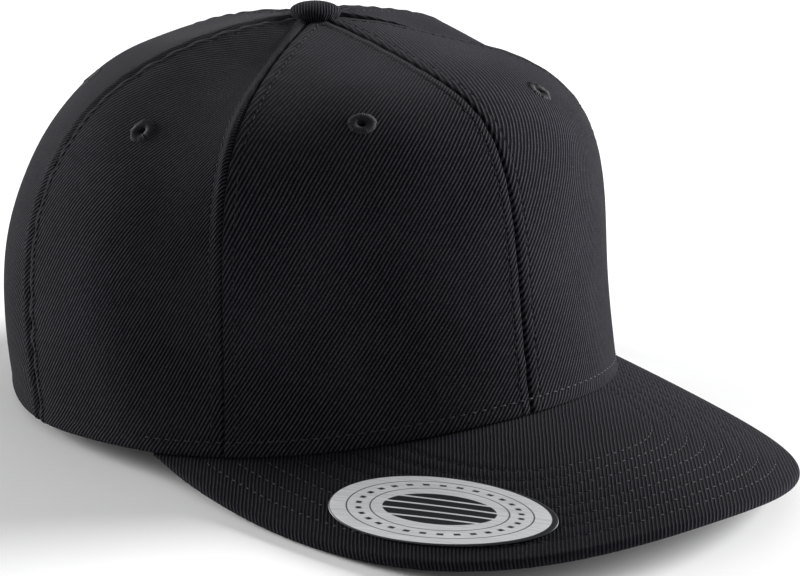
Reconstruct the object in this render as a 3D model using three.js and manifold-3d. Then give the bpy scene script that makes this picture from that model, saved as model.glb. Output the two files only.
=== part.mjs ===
// Snapback cap: six cloth panels, a covered button, six embroidered eyelets, a curved visor with an oval
// foil sticker, a sweatband inside the rim and a snap strap across the arch at the back.
// Millimetres, +Z up. The front faces -Y and the wearer's left is +X. The cap is drawn in a sewing frame
// whose Z axis runs through the button and whose zero height is the back rim. At the end it is tilted
// until the visor's sides and the back rim both touch the surface it lies on.
import * as THREE from "three";
import { mergeVertices } from "three/addons/utils/BufferGeometryUtils.js";
import Module from "manifold-3d";

const wasm = await Module();
wasm.setup();

// Crown
const CROWN_LENGTH = 196;
const CROWN_WIDTH = 184;
const CROWN_HEIGHT = 114.5;
const CLOTH = 1.8;
const CLEARANCE = 0.3;
const SEAM_DIP = 0.5;
const SEAM_ROLL = 2.5;
const SEAM_ROLL_SHARE = 0.12;

// Covered button
const BUTTON_DIAMETER = 15;
const BUTTON_RISE = 3.7;
const BUTTON_EDGE = 1.3;
const BUTTON_CHAMFER = 0.8;
const SHANK_DIAMETER = 4.8;
const SHANK_TAIL = 1.6;

// Eyelets
const EYELET_DIAMETER = 8.6;
const EYELET_HOLE = 2.8;
const EYELET_RISE = 0.9;
const EYELET_NECK_WALL = 0.8;
const EYELET_BEVEL = 0.45;
const EYELET_BACK = 0.45;

// Visor
const VISOR_LENGTH = 73.5;
const VISOR_THICKNESS = 3.2;
const VISOR_HEIGHT = 12.3;
const VISOR_DROOP = 8.7;
const VISOR_SIDE_DROP = 22.2;
const VISOR_CORNER_ANGLE = 70;

// Foil sticker. Its centre lies at shares of the crown's half width and of the visor's length.
const STICKER_LENGTH = 66;
const STICKER_WIDTH = 28.4;
const STICKER_THICKNESS = 0.4;
const STICKER_TURN = 62.5;
const STICKER_PLACE = { side: 0.568, forward: 0.304 };

// Sweatband
const BAND_HEIGHT = 32;
const BAND_THICKNESS = 1.5;

// Back arch and snap strap
const ARCH_WIDTH = 76;
const ARCH_HEIGHT = 50;
const ARCH_SIDE = 14;
const STRAP_HEIGHT = 17;
const STRAP_THICKNESS = 1.8;
const STRAP_TUCK = 12;
const STRAP_LIFT = 1;
const STUD_DIAMETER = 5.6;
const STUD_CROWN = 3.4;
const STUD_RISE = 1.3;
const STUD_PITCH = 9.4;

// The crown's meridian at each seam is a cubic curve from the rim to the button. Round the crown:
// angle    degrees from the front
// reach    the rim's radius, as a share of the ellipse of the crown's length and width
// lean     degrees that the wall leans in as it leaves the rim
// wall     the lower handle, as a share of the crown's height
// dip      degrees that the top slopes down from the button
// top      the upper handle, as a share of the rim's radius there
const SEAMS = [
  { angle: 0, reach: 1.01, lean: 9, wall: 0.745, dip: 7.7, top: 1.04 },
  { angle: 55.5, reach: 0.965, lean: 7, wall: 0.61, dip: 6.9, top: 1.22 },
  { angle: 102, reach: 1.013, lean: -2.5, wall: 0.305, dip: -0.45, top: 1.18 },
  { angle: 180, reach: 0.98, lean: -1.5, wall: 0.635, dip: 3.9, top: 1.09 },
];

// Each pair of panels lies between two seams of the table. columns is the number of facets across.
// across and up place the eyelet as shares of the panel's width and of its meridian. sag is how far the
// cloth sinks in between its seams, as a share of the crown's height, and sagAt is the share of the
// panel's width at which it sinks most.
const PANELS = [
  { name: "front_panel", eyelet: "eyelet_front", from: 0, to: 1, columns: 10, across: 0.49, up: 0.63, sag: 0, sagAt: 0.5 },
  { name: "side_panel", eyelet: "eyelet_side", from: 1, to: 2, columns: 12, across: 0.567, up: 0.664, sag: 0.027, sagAt: 0.32 },
  { name: "back_panel", eyelet: "eyelet_back", from: 2, to: 3, columns: 14, across: 0.425, up: 0.684, sag: 0.0235, sagAt: 0.45 },
];
const PANEL_ROWS = 17;
// The sag begins at the first of these shares of the crown's height and is full at the second. Towards
// the button it fades between these distances from the axis, as shares of the crown's half width.
const SAG_RISE = [0.25, 0.75];
const SAG_REACH = [0.065, 0.435];
const PANEL_TOP_RADIUS = SHANK_DIAMETER / 2 + 2 * CLEARANCE;

// The rim runs level behind this angle, and climbs to the visor's corner in front of it.
const RIM_LEVEL_ANGLE = 125;

// The visor's outline leaves the crown along the rim and turns across the front in one cubic curve.
const OUTLINE = { cornerTurn: 15.7, cornerHandle: 0.053, frontHandle: 1.12 };
const VISOR_SECTIONS = 43;
const VISOR_ROWS = 7;
const VISOR_EDGE_ANGLES = [60, 20];

// Facets along and across the other pieces, and the angles of the button's dome above its edge.
const EYELET_SIDES = 14;
const BUTTON_SIDES = 24;
const DOME_ANGLES = [20, 40, 60, 78];
const STUD_SIDES = 12;
const STICKER_SECTIONS = 22;
const STICKER_ROWS = 6;
const STICKER_END_ANGLE = 8;
const BAND_SECTIONS = 56;
const BAND_ROWS = 3;
const STRAP_SECTIONS = 20;
const STRAP_ROWS = 2;
const ARCH_SEGMENTS = 14;
const HALVINGS = 40;
const STEEPEST_TILT = 20;

const COLORS = {
  cloth: 0x17181d,
  visorCloth: 0x15161a,
  thread: 0x222329,
  band: 0x121318,
  plastic: 0x111114,
  foil: 0xc9ccd0,
};

const radians = THREE.MathUtils.degToRad;
const lerp = THREE.MathUtils.lerp;

// A value of the seam table at any angle: the cubic in cos(angle) through the four seams, so that it is
// smooth all the way round and the same on both sides.
function roundCrown(angle, column) {
  const c = Math.cos(angle);
  const nodes = SEAMS.map((seam) => Math.cos(radians(seam.angle)));
  let sum = 0;
  SEAMS.forEach((seam, i) => {
    const others = nodes.filter((node, j) => j !== i);
    sum += seam[column] * others.reduce((share, node) => (share * (c - node)) / (nodes[i] - node), 1);
  });
  return sum;
}

function rimRadius(angle) {
  const across = Math.sin(angle) / (CROWN_WIDTH / 2);
  const along = Math.cos(angle) / (CROWN_LENGTH / 2);
  return roundCrown(angle, "reach") / Math.hypot(across, along);
}

// Top of the visor: straight from front to back, and falling as a parabola to both sides.
function visorTop(x, y) {
  const forward = -y - rimRadius(0);
  const side = x / (CROWN_WIDTH / 2);
  return VISOR_HEIGHT - (VISOR_DROOP / VISOR_LENGTH) * forward - VISOR_SIDE_DROP * side * side;
}

// Height of the crown's lower edge above a point of the plan.
function rimHeight(x, y) {
  const angle = Math.abs(Math.atan2(x, -y));
  const corner = radians(VISOR_CORNER_ANGLE);
  if (angle <= corner) {
    return visorTop(x, y) + CLEARANCE;
  }
  const reach = Math.hypot(x, y);
  const start = visorTop(reach * Math.sin(corner), -reach * Math.cos(corner)) + CLEARANCE;
  const level = THREE.MathUtils.smoothstep(angle, corner, radians(RIM_LEVEL_ANGLE));
  return lerp(start, 0, level);
}

// Outer face of the crown: angle is measured from the front, and up runs from 0 at the rim to 1 at the
// button.
function crownPoint(angle, up) {
  const radius = rimRadius(angle);
  const rim = rimHeight(radius * Math.sin(angle), -radius * Math.cos(angle));
  const lean = radians(roundCrown(angle, "lean"));
  const wall = roundCrown(angle, "wall") * CROWN_HEIGHT;
  const dip = radians(roundCrown(angle, "dip"));
  const top = roundCrown(angle, "top") * radius;
  const meridian = new THREE.CubicBezierCurve(
    new THREE.Vector2(radius, rim),
    new THREE.Vector2(radius - wall * Math.sin(lean), rim + wall * Math.cos(lean)),
    new THREE.Vector2(top * Math.cos(dip), CROWN_HEIGHT - top * Math.sin(dip)),
    new THREE.Vector2(0, CROWN_HEIGHT),
  );
  const at = meridian.getPoint(up);
  return new THREE.Vector3(at.x * Math.sin(angle), -at.x * Math.cos(angle), at.y);
}

function crownNormal(angle, up) {
  const step = 0.001;
  const low = Math.max(0, up - step);
  const high = Math.min(1, up + step);
  const round = crownPoint(angle + step, up).sub(crownPoint(angle - step, up));
  const rise = crownPoint(angle, high).sub(crownPoint(angle, low));
  return round.cross(rise).normalize();
}

// A point a given depth under the outer face. On the rim it keeps to the crown's lower edge.
function crownLayer(angle, up, depth) {
  const point = crownPoint(angle, up).addScaledVector(crownNormal(angle, up), -depth);
  if (up === 0) {
    point.z = rimHeight(point.x, point.y);
  }
  return point;
}

// The share of a meridian at which reached(point) first becomes true, by halving.
function solveUp(angle, reached) {
  let low = 0;
  let high = 1;
  for (let i = 0; i < HALVINGS; i += 1) {
    const middle = (low + high) / 2;
    if (reached(crownPoint(angle, middle))) {
      high = middle;
    } else {
      low = middle;
    }
  }
  return (low + high) / 2;
}

// Closed solid from sections: each section is two rows of points, an upper one and a lower one, and the
// rows of neighbouring sections are joined by facets. Ends and edges are closed.
function loft(sections) {
  const width = sections[0].upper.length;
  const loop = 2 * width;
  const points = sections.flatMap(({ upper, lower }) => [...upper, ...[...lower].reverse()]);
  const index = [];
  const quad = (a, b, c, d) => index.push(a, b, c, a, c, d);
  for (let s = 0; s + 1 < sections.length; s += 1) {
    for (let i = 0; i < loop; i += 1) {
      const next = (i + 1) % loop;
      quad(s * loop + i, s * loop + next, (s + 1) * loop + next, (s + 1) * loop + i);
    }
  }
  const last = (sections.length - 1) * loop;
  for (let i = 0; i + 1 < width; i += 1) {
    const under = loop - 1 - i;
    quad(i, under, under - 1, i + 1);
    quad(last + i, last + i + 1, last + under - 1, last + under);
  }
  const geometry = new THREE.BufferGeometry();
  const numbers = points.flatMap((point) => point.toArray());
  geometry.setAttribute("position", new THREE.Float32BufferAttribute(numbers, 3));
  geometry.setIndex(facingOut(points, index));
  return geometry;
}

// Turns all triangles round if the solid they enclose would have a negative volume.
function facingOut(points, index) {
  let volume = 0;
  for (let i = 0; i < index.length; i += 3) {
    const [a, b, c] = [points[index[i]], points[index[i + 1]], points[index[i + 2]]];
    volume += a.dot(new THREE.Vector3().crossVectors(b, c));
  }
  return volume > 0 ? index : index.reverse();
}

function toSolid(geometry) {
  const bare = new THREE.BufferGeometry();
  bare.setAttribute("position", geometry.getAttribute("position"));
  bare.setIndex(geometry.getIndex());
  const merged = mergeVertices(bare);
  const vertProperties = new Float32Array(merged.getAttribute("position").array);
  const triVerts = new Uint32Array(merged.getIndex().array);
  return new wasm.Manifold(new wasm.Mesh({ numProp: 3, vertProperties, triVerts }));
}

function fromSolid(solid) {
  const mesh = solid.getMesh();
  const geometry = new THREE.BufferGeometry();
  geometry.setAttribute("position", new THREE.Float32BufferAttribute(mesh.vertProperties, 3));
  geometry.setIndex(Array.from(mesh.triVerts));
  return geometry;
}

// Even steps from 0 to 1 with an extra one near each end, a seam roll in from the edge.
function panelSteps(columns, roll) {
  const inner = Array.from({ length: columns - 1 }, (_, i) => lerp(roll, 1 - roll, i / (columns - 2)));
  return [0, ...inner, 1];
}

// How far a panel's cloth lies under the plain crown at a share of its width.
function panelSag(panel, step, point) {
  const bent = step ** (Math.log(0.5) / Math.log(panel.sagAt));
  const across = (4 * bent * (1 - bent)) ** 1.5;
  const rise = THREE.MathUtils.smoothstep(point.z / CROWN_HEIGHT, ...SAG_RISE);
  const radius = Math.hypot(point.x, point.y) / (CROWN_WIDTH / 2);
  const reach = THREE.MathUtils.smoothstep(radius, ...SAG_REACH);
  return panel.sag * CROWN_HEIGHT * across * rise * reach;
}

// A point of a panel's outer face, by its shares across the panel and up the crown.
function clothPoint(panel, side, step, up) {
  const angle = side * lerp(radians(SEAMS[panel.from].angle), radians(SEAMS[panel.to].angle), step);
  const point = crownPoint(angle, up);
  return point.addScaledVector(crownNormal(angle, up), -panelSag(panel, step, point));
}

function clothNormal(panel, side, step, up) {
  const small = 0.001;
  const at = (across, along) => clothPoint(panel, side, step + across, up + along);
  const round = at(small, 0).sub(at(-small, 0)).multiplyScalar(side);
  return round.cross(at(0, small).sub(at(0, -small))).normalize();
}

function panelGeometry(panel, side) {
  const start = radians(SEAMS[panel.from].angle);
  const end = radians(SEAMS[panel.to].angle);
  const middle = side * (start + end) / 2;
  const ceiling = solveUp(middle, (point) => Math.hypot(point.x, point.y) <= PANEL_TOP_RADIUS);
  const sections = [];
  for (let row = 0; row <= PANEL_ROWS; row += 1) {
    const up = ceiling * row / PANEL_ROWS;
    const at = crownPoint(middle, up);
    const radius = Math.hypot(at.x, at.y);
    const gap = Math.asin(CLEARANCE / 2 / radius);
    const roll = Math.min(SEAM_ROLL_SHARE, SEAM_ROLL / (radius * (end - start)));
    const upper = [];
    const lower = [];
    panelSteps(panel.columns, roll).forEach((step, i) => {
      const angle = side * lerp(start + gap, end - gap, step);
      const seam = i === 0 || i === panel.columns;
      const dip = seam ? Math.min(SEAM_DIP, CLOTH / 2) : 0;
      const sag = panelSag(panel, step, crownPoint(angle, up));
      upper.push(crownLayer(angle, up, dip + sag));
      lower.push(crownLayer(angle, up, CLOTH + sag));
    });
    sections.push({ upper, lower });
  }
  return loft(sections);
}

// Where a panel's eyelet sits: its centre on the outer face, and the way out of the cloth.
function eyeletSeat(panel, side) {
  const normal = clothNormal(panel, side, panel.across, panel.up);
  const turn = new THREE.Quaternion().setFromUnitVectors(new THREE.Vector3(0, 1, 0), normal);
  return { centre: clothPoint(panel, side, panel.across, panel.up), turn };
}

function revolve(profile, sides) {
  return new THREE.LatheGeometry(profile.map(([r, h]) => new THREE.Vector2(r, h)), sides);
}

const NECK_RADIUS = EYELET_HOLE / 2 + EYELET_NECK_WALL;
const NECK_CUT_RADIUS = NECK_RADIUS + CLEARANCE;

// A stitched ring: a rounded flange outside, a neck through the cloth and a thinner flange inside.
// Its inner edge leaves room for the flat facets of the curved cloth.
function eyeletGeometry() {
  const hole = EYELET_HOLE / 2;
  const rim = EYELET_DIAMETER / 2;
  const inside = -CLOTH - 2 * CLEARANCE;
  return revolve([
    [hole, inside - EYELET_BACK],
    [rim - 2 * EYELET_BEVEL, inside - EYELET_BACK],
    [rim - EYELET_BEVEL, inside],
    [NECK_RADIUS, inside],
    [NECK_RADIUS, CLEARANCE],
    [rim, CLEARANCE],
    [rim - EYELET_BEVEL, CLEARANCE + EYELET_RISE],
    [hole + EYELET_BEVEL, CLEARANCE + EYELET_RISE],
    [hole, inside - EYELET_BACK],
  ], EYELET_SIDES);
}

function eyeletCutter(seat) {
  const cutter = new THREE.CylinderGeometry(NECK_CUT_RADIUS, NECK_CUT_RADIUS, 6 * CLOTH, EYELET_SIDES);
  cutter.applyQuaternion(seat.turn);
  cutter.translate(seat.centre.x, seat.centre.y, seat.centre.z);
  return toSolid(cutter);
}

// The arch over the strap: upright sides and a half ellipse, cut through the back wall.
function archCutter() {
  const half = ARCH_WIDTH / 2;
  const shape = new THREE.Shape();
  shape.moveTo(-half, -ARCH_SIDE);
  shape.lineTo(half, -ARCH_SIDE);
  shape.lineTo(half, ARCH_SIDE);
  shape.absellipse(0, ARCH_SIDE, half, ARCH_HEIGHT - ARCH_SIDE, 0, Math.PI);
  const options = { depth: CROWN_LENGTH / 2, bevelEnabled: false, curveSegments: ARCH_SEGMENTS };
  const cutter = new THREE.ExtrudeGeometry(shape, options);
  cutter.rotateX(Math.PI / 2);
  cutter.translate(0, (3 * CROWN_LENGTH) / 4, 0);
  return toSolid(cutter);
}

function buttonGeometry() {
  const rim = BUTTON_DIAMETER / 2;
  const shank = SHANK_DIAMETER / 2;
  const domeTop = CLEARANCE + BUTTON_RISE;
  const shoulder = CLEARANCE + BUTTON_EDGE;
  const dome = DOME_ANGLES.map((angle) => [
    rim * Math.cos(radians(angle)),
    lerp(shoulder, domeTop, Math.sin(radians(angle))),
  ]);
  const tail = -(CLOTH + SHANK_TAIL);
  return revolve([
    [0, tail],
    [shank, tail],
    [shank, CLEARANCE],
    [rim - BUTTON_CHAMFER, CLEARANCE],
    [rim, CLEARANCE + BUTTON_CHAMFER],
    [rim, shoulder],
    ...dome,
    [0, domeTop],
  ], BUTTON_SIDES);
}

// The visor's outer edge in plan on the wearer's left, from the corner at 0 to the front centre at 1.
function outlineCurve() {
  const corner = radians(VISOR_CORNER_ANGLE);
  const turn = radians(OUTLINE.cornerTurn);
  const radius = rimRadius(corner);
  const start = new THREE.Vector2(radius * Math.sin(corner), -radius * Math.cos(corner));
  const end = new THREE.Vector2(0, -(rimRadius(0) + VISOR_LENGTH));
  const handle = OUTLINE.cornerHandle * VISOR_LENGTH;
  return new THREE.CubicBezierCurve(
    start,
    new THREE.Vector2(start.x - handle * Math.sin(turn), start.y - handle * Math.cos(turn)),
    new THREE.Vector2(end.x + (OUTLINE.frontHandle * CROWN_WIDTH) / 2, end.y),
    end,
  );
}

function visorNormal(x, y) {
  const step = 0.01;
  const dx = visorTop(x + step, y) - visorTop(x - step, y);
  const dy = visorTop(x, y + step) - visorTop(x, y - step);
  return new THREE.Vector3(-dx / 2 / step, -dy / 2 / step, 1).normalize();
}

// One front-to-back slice of the visor: it starts under the sweatband and ends in a rounded edge.
function visorSection(across, outline) {
  const angle = across * radians(VISOR_CORNER_ANGLE);
  const inset = rimRadius(angle) - CLOTH - CLEARANCE - BAND_THICKNESS;
  const inner = new THREE.Vector2(inset * Math.sin(angle), -inset * Math.cos(angle));
  const outer = outline.getPoint(1 - Math.abs(across));
  outer.x *= Math.sign(across);
  const forward = outer.clone().sub(inner).normalize();
  const half = VISOR_THICKNESS / 2;
  const last = outer.clone().addScaledVector(forward, -half);
  const upper = [];
  const lower = [];
  const put = (list, x, y, depth) => {
    const top = new THREE.Vector3(x, y, visorTop(x, y));
    list.push(top.addScaledVector(visorNormal(x, y), -depth));
  };
  for (let row = 0; row <= VISOR_ROWS; row += 1) {
    const x = lerp(inner.x, last.x, row / VISOR_ROWS);
    const y = lerp(inner.y, last.y, row / VISOR_ROWS);
    put(upper, x, y, 0);
    put(lower, x, y, VISOR_THICKNESS);
  }
  VISOR_EDGE_ANGLES.forEach((degrees) => {
    const out = half * Math.cos(radians(degrees));
    const x = last.x + forward.x * out;
    const y = last.y + forward.y * out;
    put(upper, x, y, half - half * Math.sin(radians(degrees)));
    put(lower, x, y, half + half * Math.sin(radians(degrees)));
  });
  return { upper, lower };
}

function visorGeometry() {
  const outline = outlineCurve();
  const sections = [];
  for (let i = 0; i <= VISOR_SECTIONS; i += 1) {
    sections.push(visorSection(lerp(-1, 1, i / VISOR_SECTIONS), outline));
  }
  return loft(sections);
}

// The oval lies on the visor's right half, its length turned from straight across towards the front.
function stickerGeometry() {
  const turn = radians(-STICKER_TURN);
  const side = (STICKER_PLACE.side * CROWN_WIDTH) / 2;
  const forward = STICKER_PLACE.forward * VISOR_LENGTH;
  const centre = new THREE.Vector2(-side, -(rimRadius(0) + forward));
  const sections = [];
  for (let i = 0; i <= STICKER_SECTIONS; i += 1) {
    const around = radians(lerp(STICKER_END_ANGLE, 180 - STICKER_END_ANGLE, i / STICKER_SECTIONS));
    const along = (STICKER_LENGTH / 2) * Math.cos(around);
    const half = (STICKER_WIDTH / 2) * Math.sin(around);
    const upper = [];
    const lower = [];
    for (let j = 0; j <= STICKER_ROWS; j += 1) {
      const across = lerp(-half, half, j / STICKER_ROWS);
      const at = new THREE.Vector2(along, across).rotateAround(new THREE.Vector2(), turn).add(centre);
      const seat = new THREE.Vector3(at.x, at.y, visorTop(at.x, at.y));
      const normal = visorNormal(at.x, at.y);
      upper.push(seat.clone().addScaledVector(normal, CLEARANCE + STICKER_THICKNESS));
      lower.push(seat.clone().addScaledVector(normal, CLEARANCE));
    }
    sections.push({ upper, lower });
  }
  return loft(sections);
}

// A band inside the crown between two angles and two heights above the rim, on the cloth's inner face.
function innerBand(angles, heights, thickness) {
  const outside = CLOTH + CLEARANCE;
  const sections = angles.map((angle) => {
    const rim = crownPoint(angle, 0).z;
    const climb = (height) => solveUp(angle, (point) => point.z >= rim + height);
    const ups = heights.map((height) => (height > 0 ? climb(height) : 0));
    return {
      upper: ups.map((up) => crownLayer(angle, up, outside)),
      lower: ups.map((up) => crownLayer(angle, up, outside + thickness)),
    };
  });
  return loft(sections);
}

// Angle from the front at which the crown's rim reaches a given distance from the back's centre line.
function backAngle(side) {
  return Math.PI - Math.asin(side / (CROWN_LENGTH / 2));
}

function evenSteps(from, to, steps) {
  return Array.from({ length: steps + 1 }, (_, i) => lerp(from, to, i / steps));
}

const STRAP_HALF = ARCH_WIDTH / 2 + STRAP_TUCK;

function sweatbandGeometry() {
  const end = backAngle(STRAP_HALF + 2 * CLEARANCE);
  const heights = evenSteps(0, BAND_HEIGHT, BAND_ROWS);
  return innerBand(evenSteps(-end, end, BAND_SECTIONS), heights, BAND_THICKNESS);
}

function strapGeometry() {
  const start = backAngle(STRAP_HALF);
  const heights = evenSteps(STRAP_LIFT, STRAP_LIFT + STRAP_HEIGHT, STRAP_ROWS);
  const angles = evenSteps(start, 2 * Math.PI - start, STRAP_SECTIONS);
  let solid = toSolid(innerBand(angles, heights, STRAP_THICKNESS));
  const stud = revolve([
    [0, -STRAP_THICKNESS / 2],
    [STUD_DIAMETER / 2, -STRAP_THICKNESS / 2],
    [STUD_DIAMETER / 2, STUD_RISE / 2],
    [STUD_CROWN / 2, STUD_RISE],
    [0, STUD_RISE],
  ], STUD_SIDES);
  const perSide = Math.floor((ARCH_WIDTH / 2 - STUD_DIAMETER) / STUD_PITCH);
  for (let i = -perSide; i <= perSide; i += 1) {
    const angle = backAngle(i * STUD_PITCH);
    const up = solveUp(angle, (point) => point.z >= STRAP_LIFT + STRAP_HEIGHT / 2);
    const normal = crownNormal(angle, up);
    const seat = crownLayer(angle, up, CLOTH + CLEARANCE);
    const placed = stud.clone();
    placed.applyQuaternion(new THREE.Quaternion().setFromUnitVectors(new THREE.Vector3(0, 1, 0), normal));
    placed.translate(seat.x, seat.y, seat.z);
    solid = solid.add(toSolid(placed));
  }
  return fromSolid(solid);
}

function finish(color, roughness, metalness = 0) {
  return new THREE.MeshStandardMaterial({ color, roughness, metalness, side: THREE.DoubleSide });
}

const panelCloth = finish(COLORS.cloth, 0.9);
const visorCloth = finish(COLORS.visorCloth, 0.88);
const thread = finish(COLORS.thread, 0.75);
const bandCloth = finish(COLORS.band, 0.92);
const plastic = finish(COLORS.plastic, 0.45);
const foil = finish(COLORS.foil, 0.35, 0.8);

const cap = new THREE.Group();

function addMesh(name, geometry, material) {
  const mesh = new THREE.Mesh(geometry, material);
  mesh.name = name;
  cap.add(mesh);
  return mesh;
}

const SIDES = [
  { suffix: "left", sign: 1 },
  { suffix: "right", sign: -1 },
];
const arch = archCutter();
for (const panel of PANELS) {
  for (const { suffix, sign } of SIDES) {
    const seat = eyeletSeat(panel, sign);
    let solid = toSolid(panelGeometry(panel, sign)).subtract(eyeletCutter(seat));
    if (panel.name === "back_panel") {
      solid = solid.subtract(arch);
    }
    addMesh(`${panel.name}_${suffix}`, fromSolid(solid), panelCloth);
    const eyelet = addMesh(`${panel.eyelet}_${suffix}`, eyeletGeometry(), thread);
    eyelet.position.copy(seat.centre);
    eyelet.quaternion.copy(seat.turn);
  }
}

// The top slopes the same way from front to back under the button, so the button leans with it.
const button = addMesh("top_button", buttonGeometry(), panelCloth);
button.position.set(0, 0, CROWN_HEIGHT);
button.rotation.x = Math.PI / 2 + radians((SEAMS[0].dip - SEAMS[3].dip) / 2);

addMesh("visor", visorGeometry(), visorCloth);
addMesh("visor_sticker", stickerGeometry(), foil);
addMesh("sweatband", sweatbandGeometry(), bandCloth);
addMesh("snap_strap", strapGeometry(), plastic);

// Every corner of the cap in the sewing frame.
function allPoints(group) {
  group.updateMatrixWorld(true);
  return group.children.flatMap((mesh) => {
    const position = mesh.geometry.getAttribute("position");
    return Array.from({ length: position.count }, (_, i) =>
      new THREE.Vector3().fromBufferAttribute(position, i).applyMatrix4(mesh.matrixWorld));
  });
}

// The turn about X at which the front half and the back half of the cap are equally low.
function restingTilt(points) {
  const lowest = (tilt, side) => {
    const half = points.filter((point) => point.y * side > 0);
    const heights = half.map((point) => point.y * Math.sin(tilt) + point.z * Math.cos(tilt));
    return heights.reduce((low, height) => Math.min(low, height), Infinity);
  };
  let low = radians(-STEEPEST_TILT);
  let high = radians(STEEPEST_TILT);
  for (let i = 0; i < HALVINGS; i += 1) {
    const middle = (low + high) / 2;
    if (lowest(middle, -1) > lowest(middle, 1)) {
      low = middle;
    } else {
      high = middle;
    }
  }
  return (low + high) / 2;
}

cap.rotation.x = restingTilt(allPoints(cap));
const box = new THREE.Box3().setFromPoints(allPoints(cap));
cap.position.set(0, -(box.min.y + box.max.y) / 2, -box.min.z);

export default cap;
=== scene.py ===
"""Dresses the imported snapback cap: panels, stitching, eyelets, button, visor, sticker, band, strap.

Shapes are worked out in millimetres in the cap's sewing frame: the Z axis runs through the button, zero
height is the back rim, the front faces -Y and the wearer's left is +X. RestPose carries them to the frame
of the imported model, in metres. A grid's first index runs round the piece and its second one up or out.
"""
import itertools
import logging
import math
from dataclasses import dataclass, field
from enum import Enum

import bpy
import numpy as np
from mathutils import Matrix, Vector


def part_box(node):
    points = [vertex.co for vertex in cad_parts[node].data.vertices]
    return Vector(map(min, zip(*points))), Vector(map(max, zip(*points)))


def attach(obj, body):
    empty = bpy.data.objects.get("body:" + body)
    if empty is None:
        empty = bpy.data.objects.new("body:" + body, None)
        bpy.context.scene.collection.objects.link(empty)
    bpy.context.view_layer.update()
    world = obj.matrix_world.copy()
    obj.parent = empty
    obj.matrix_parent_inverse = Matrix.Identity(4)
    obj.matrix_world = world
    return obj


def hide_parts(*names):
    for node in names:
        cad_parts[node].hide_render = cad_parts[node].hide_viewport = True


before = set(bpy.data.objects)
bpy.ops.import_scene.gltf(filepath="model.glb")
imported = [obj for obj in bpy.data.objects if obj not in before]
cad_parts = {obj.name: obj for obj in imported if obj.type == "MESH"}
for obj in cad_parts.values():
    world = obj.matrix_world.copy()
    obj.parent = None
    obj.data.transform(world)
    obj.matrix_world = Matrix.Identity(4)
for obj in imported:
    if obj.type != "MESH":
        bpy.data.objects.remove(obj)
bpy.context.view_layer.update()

Array = np.ndarray
Socket = bpy.types.NodeSocket
Material = bpy.types.Material
Value = Socket | float | tuple[float, ...]
Colour = tuple[float, float, float]
Span = tuple[float, float]

LOG = logging.getLogger("cap")
BODY = "root"
MM = 0.001
HALVINGS = 34
WALL_ROUNDS = 8
PHOTO_WIDTH = 800


class Side(Enum):
    """The wearer's side of the cap, and the sign of its angles."""

    LEFT = 1
    RIGHT = -1


class Pattern(Enum):
    """What a finish's pattern is measured on."""

    FLAT_MAP = "UV"
    SOLID = "Object"


def smoothstep(value: Array, low: float, high: float) -> Array:
    """Gives 0 below low, 1 above high and 3t^2 - 2t^3 between them."""
    t = np.clip((value - low) / (high - low), 0.0, 1.0)
    return t * t * (3.0 - 2.0 * t)


def bell(distance: Array, centre: float, half_width: float) -> Array:
    """Gives exp(-((distance - centre) / half_width)^2), a soft bump of height 1."""
    return np.exp(-(((distance - centre) / half_width) ** 2))


def cubic(a: Array, b: Array, c: Array, d: Array, t: Array) -> Array:
    """Point at t of the cubic Bezier curve with the four given points."""
    s = 1.0 - t
    return s**3 * a + 3 * s * s * t * b + 3 * s * t * t * c + t**3 * d


def unit(vectors: Array) -> Array:
    """Scales each vector to length 1."""
    return vectors / np.maximum(np.linalg.norm(vectors, axis=-1, keepdims=True), 1e-12)


def arc_lengths(line: Array) -> Array:
    """Distance along a line of points, from its first point to each of them."""
    steps = np.linalg.norm(np.diff(line, axis=0), axis=1)
    return np.concatenate([[0.0], np.cumsum(steps)])


def at_length(line: Array, lengths: Array) -> Array:
    """Rows of a line's values, of which the first three are the point, at distances along it."""
    total = arc_lengths(line[:, :3])
    return np.stack([np.interp(lengths, total, column) for column in line.T], axis=-1)


def distance_to_line(points: Array, line: Array) -> tuple[Array, Array]:
    """Distance from points to a line, and how far along the line the nearest place is.

    The nearest corner of the line is found first. Then the point is projected on the two straight
    stretches that meet there, and the nearer one counts.

    Args:
        points: any grid of points.
        line: the line's corners in order.

    Returns:
        Distances and lengths along the line, both in the grid's shape.
    """
    flat = points.reshape(-1, 3)
    spread = (flat**2).sum(1)[:, None] + (line**2).sum(1)[None] - 2.0 * flat @ line.T
    nearest = spread.argmin(1)
    total = arc_lengths(line)
    best = np.full(len(flat), np.inf)
    along = np.zeros(len(flat))
    for back in (1, 0):
        start = np.clip(nearest - back, 0, len(line) - 2)
        step = line[start + 1] - line[start]
        size = np.maximum((step**2).sum(1), 1e-12)
        share = np.clip(((flat - line[start]) * step).sum(1) / size, 0.0, 1.0)
        gap = np.linalg.norm(flat - line[start] - share[:, None] * step, axis=1)
        closer = gap < best
        best = np.where(closer, gap, best)
        along = np.where(closer, total[start] + share * np.sqrt(size), along)
    return best.reshape(points.shape[:-1]), along.reshape(points.shape[:-1])


def edge_round(distance: Array, radius: float) -> Array:
    """How far a face sinks towards the middle of its cloth near a rounded edge.

    It is radius - sqrt(radius^2 - (radius - distance)^2) within the radius, and 0 farther in.
    """
    inside = np.clip(radius - distance, 0.0, radius)
    return radius - np.sqrt(np.maximum(radius**2 - inside**2, 0.0))


def crowded(steps: int, near: float, share: float) -> Array:
    """Steps from 0 to 1 of which a share at each end covers only the near part of the way."""
    t = np.linspace(0.0, 1.0, steps + 1)
    return np.interp(t, [0.0, share, 1.0 - share, 1.0], [0.0, near, 1.0 - near, 1.0])


def full_turn(steps: int) -> Array:
    """Angles of a full circle in even steps, without its end."""
    return np.arange(steps) * 2.0 * np.pi / steps


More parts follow.
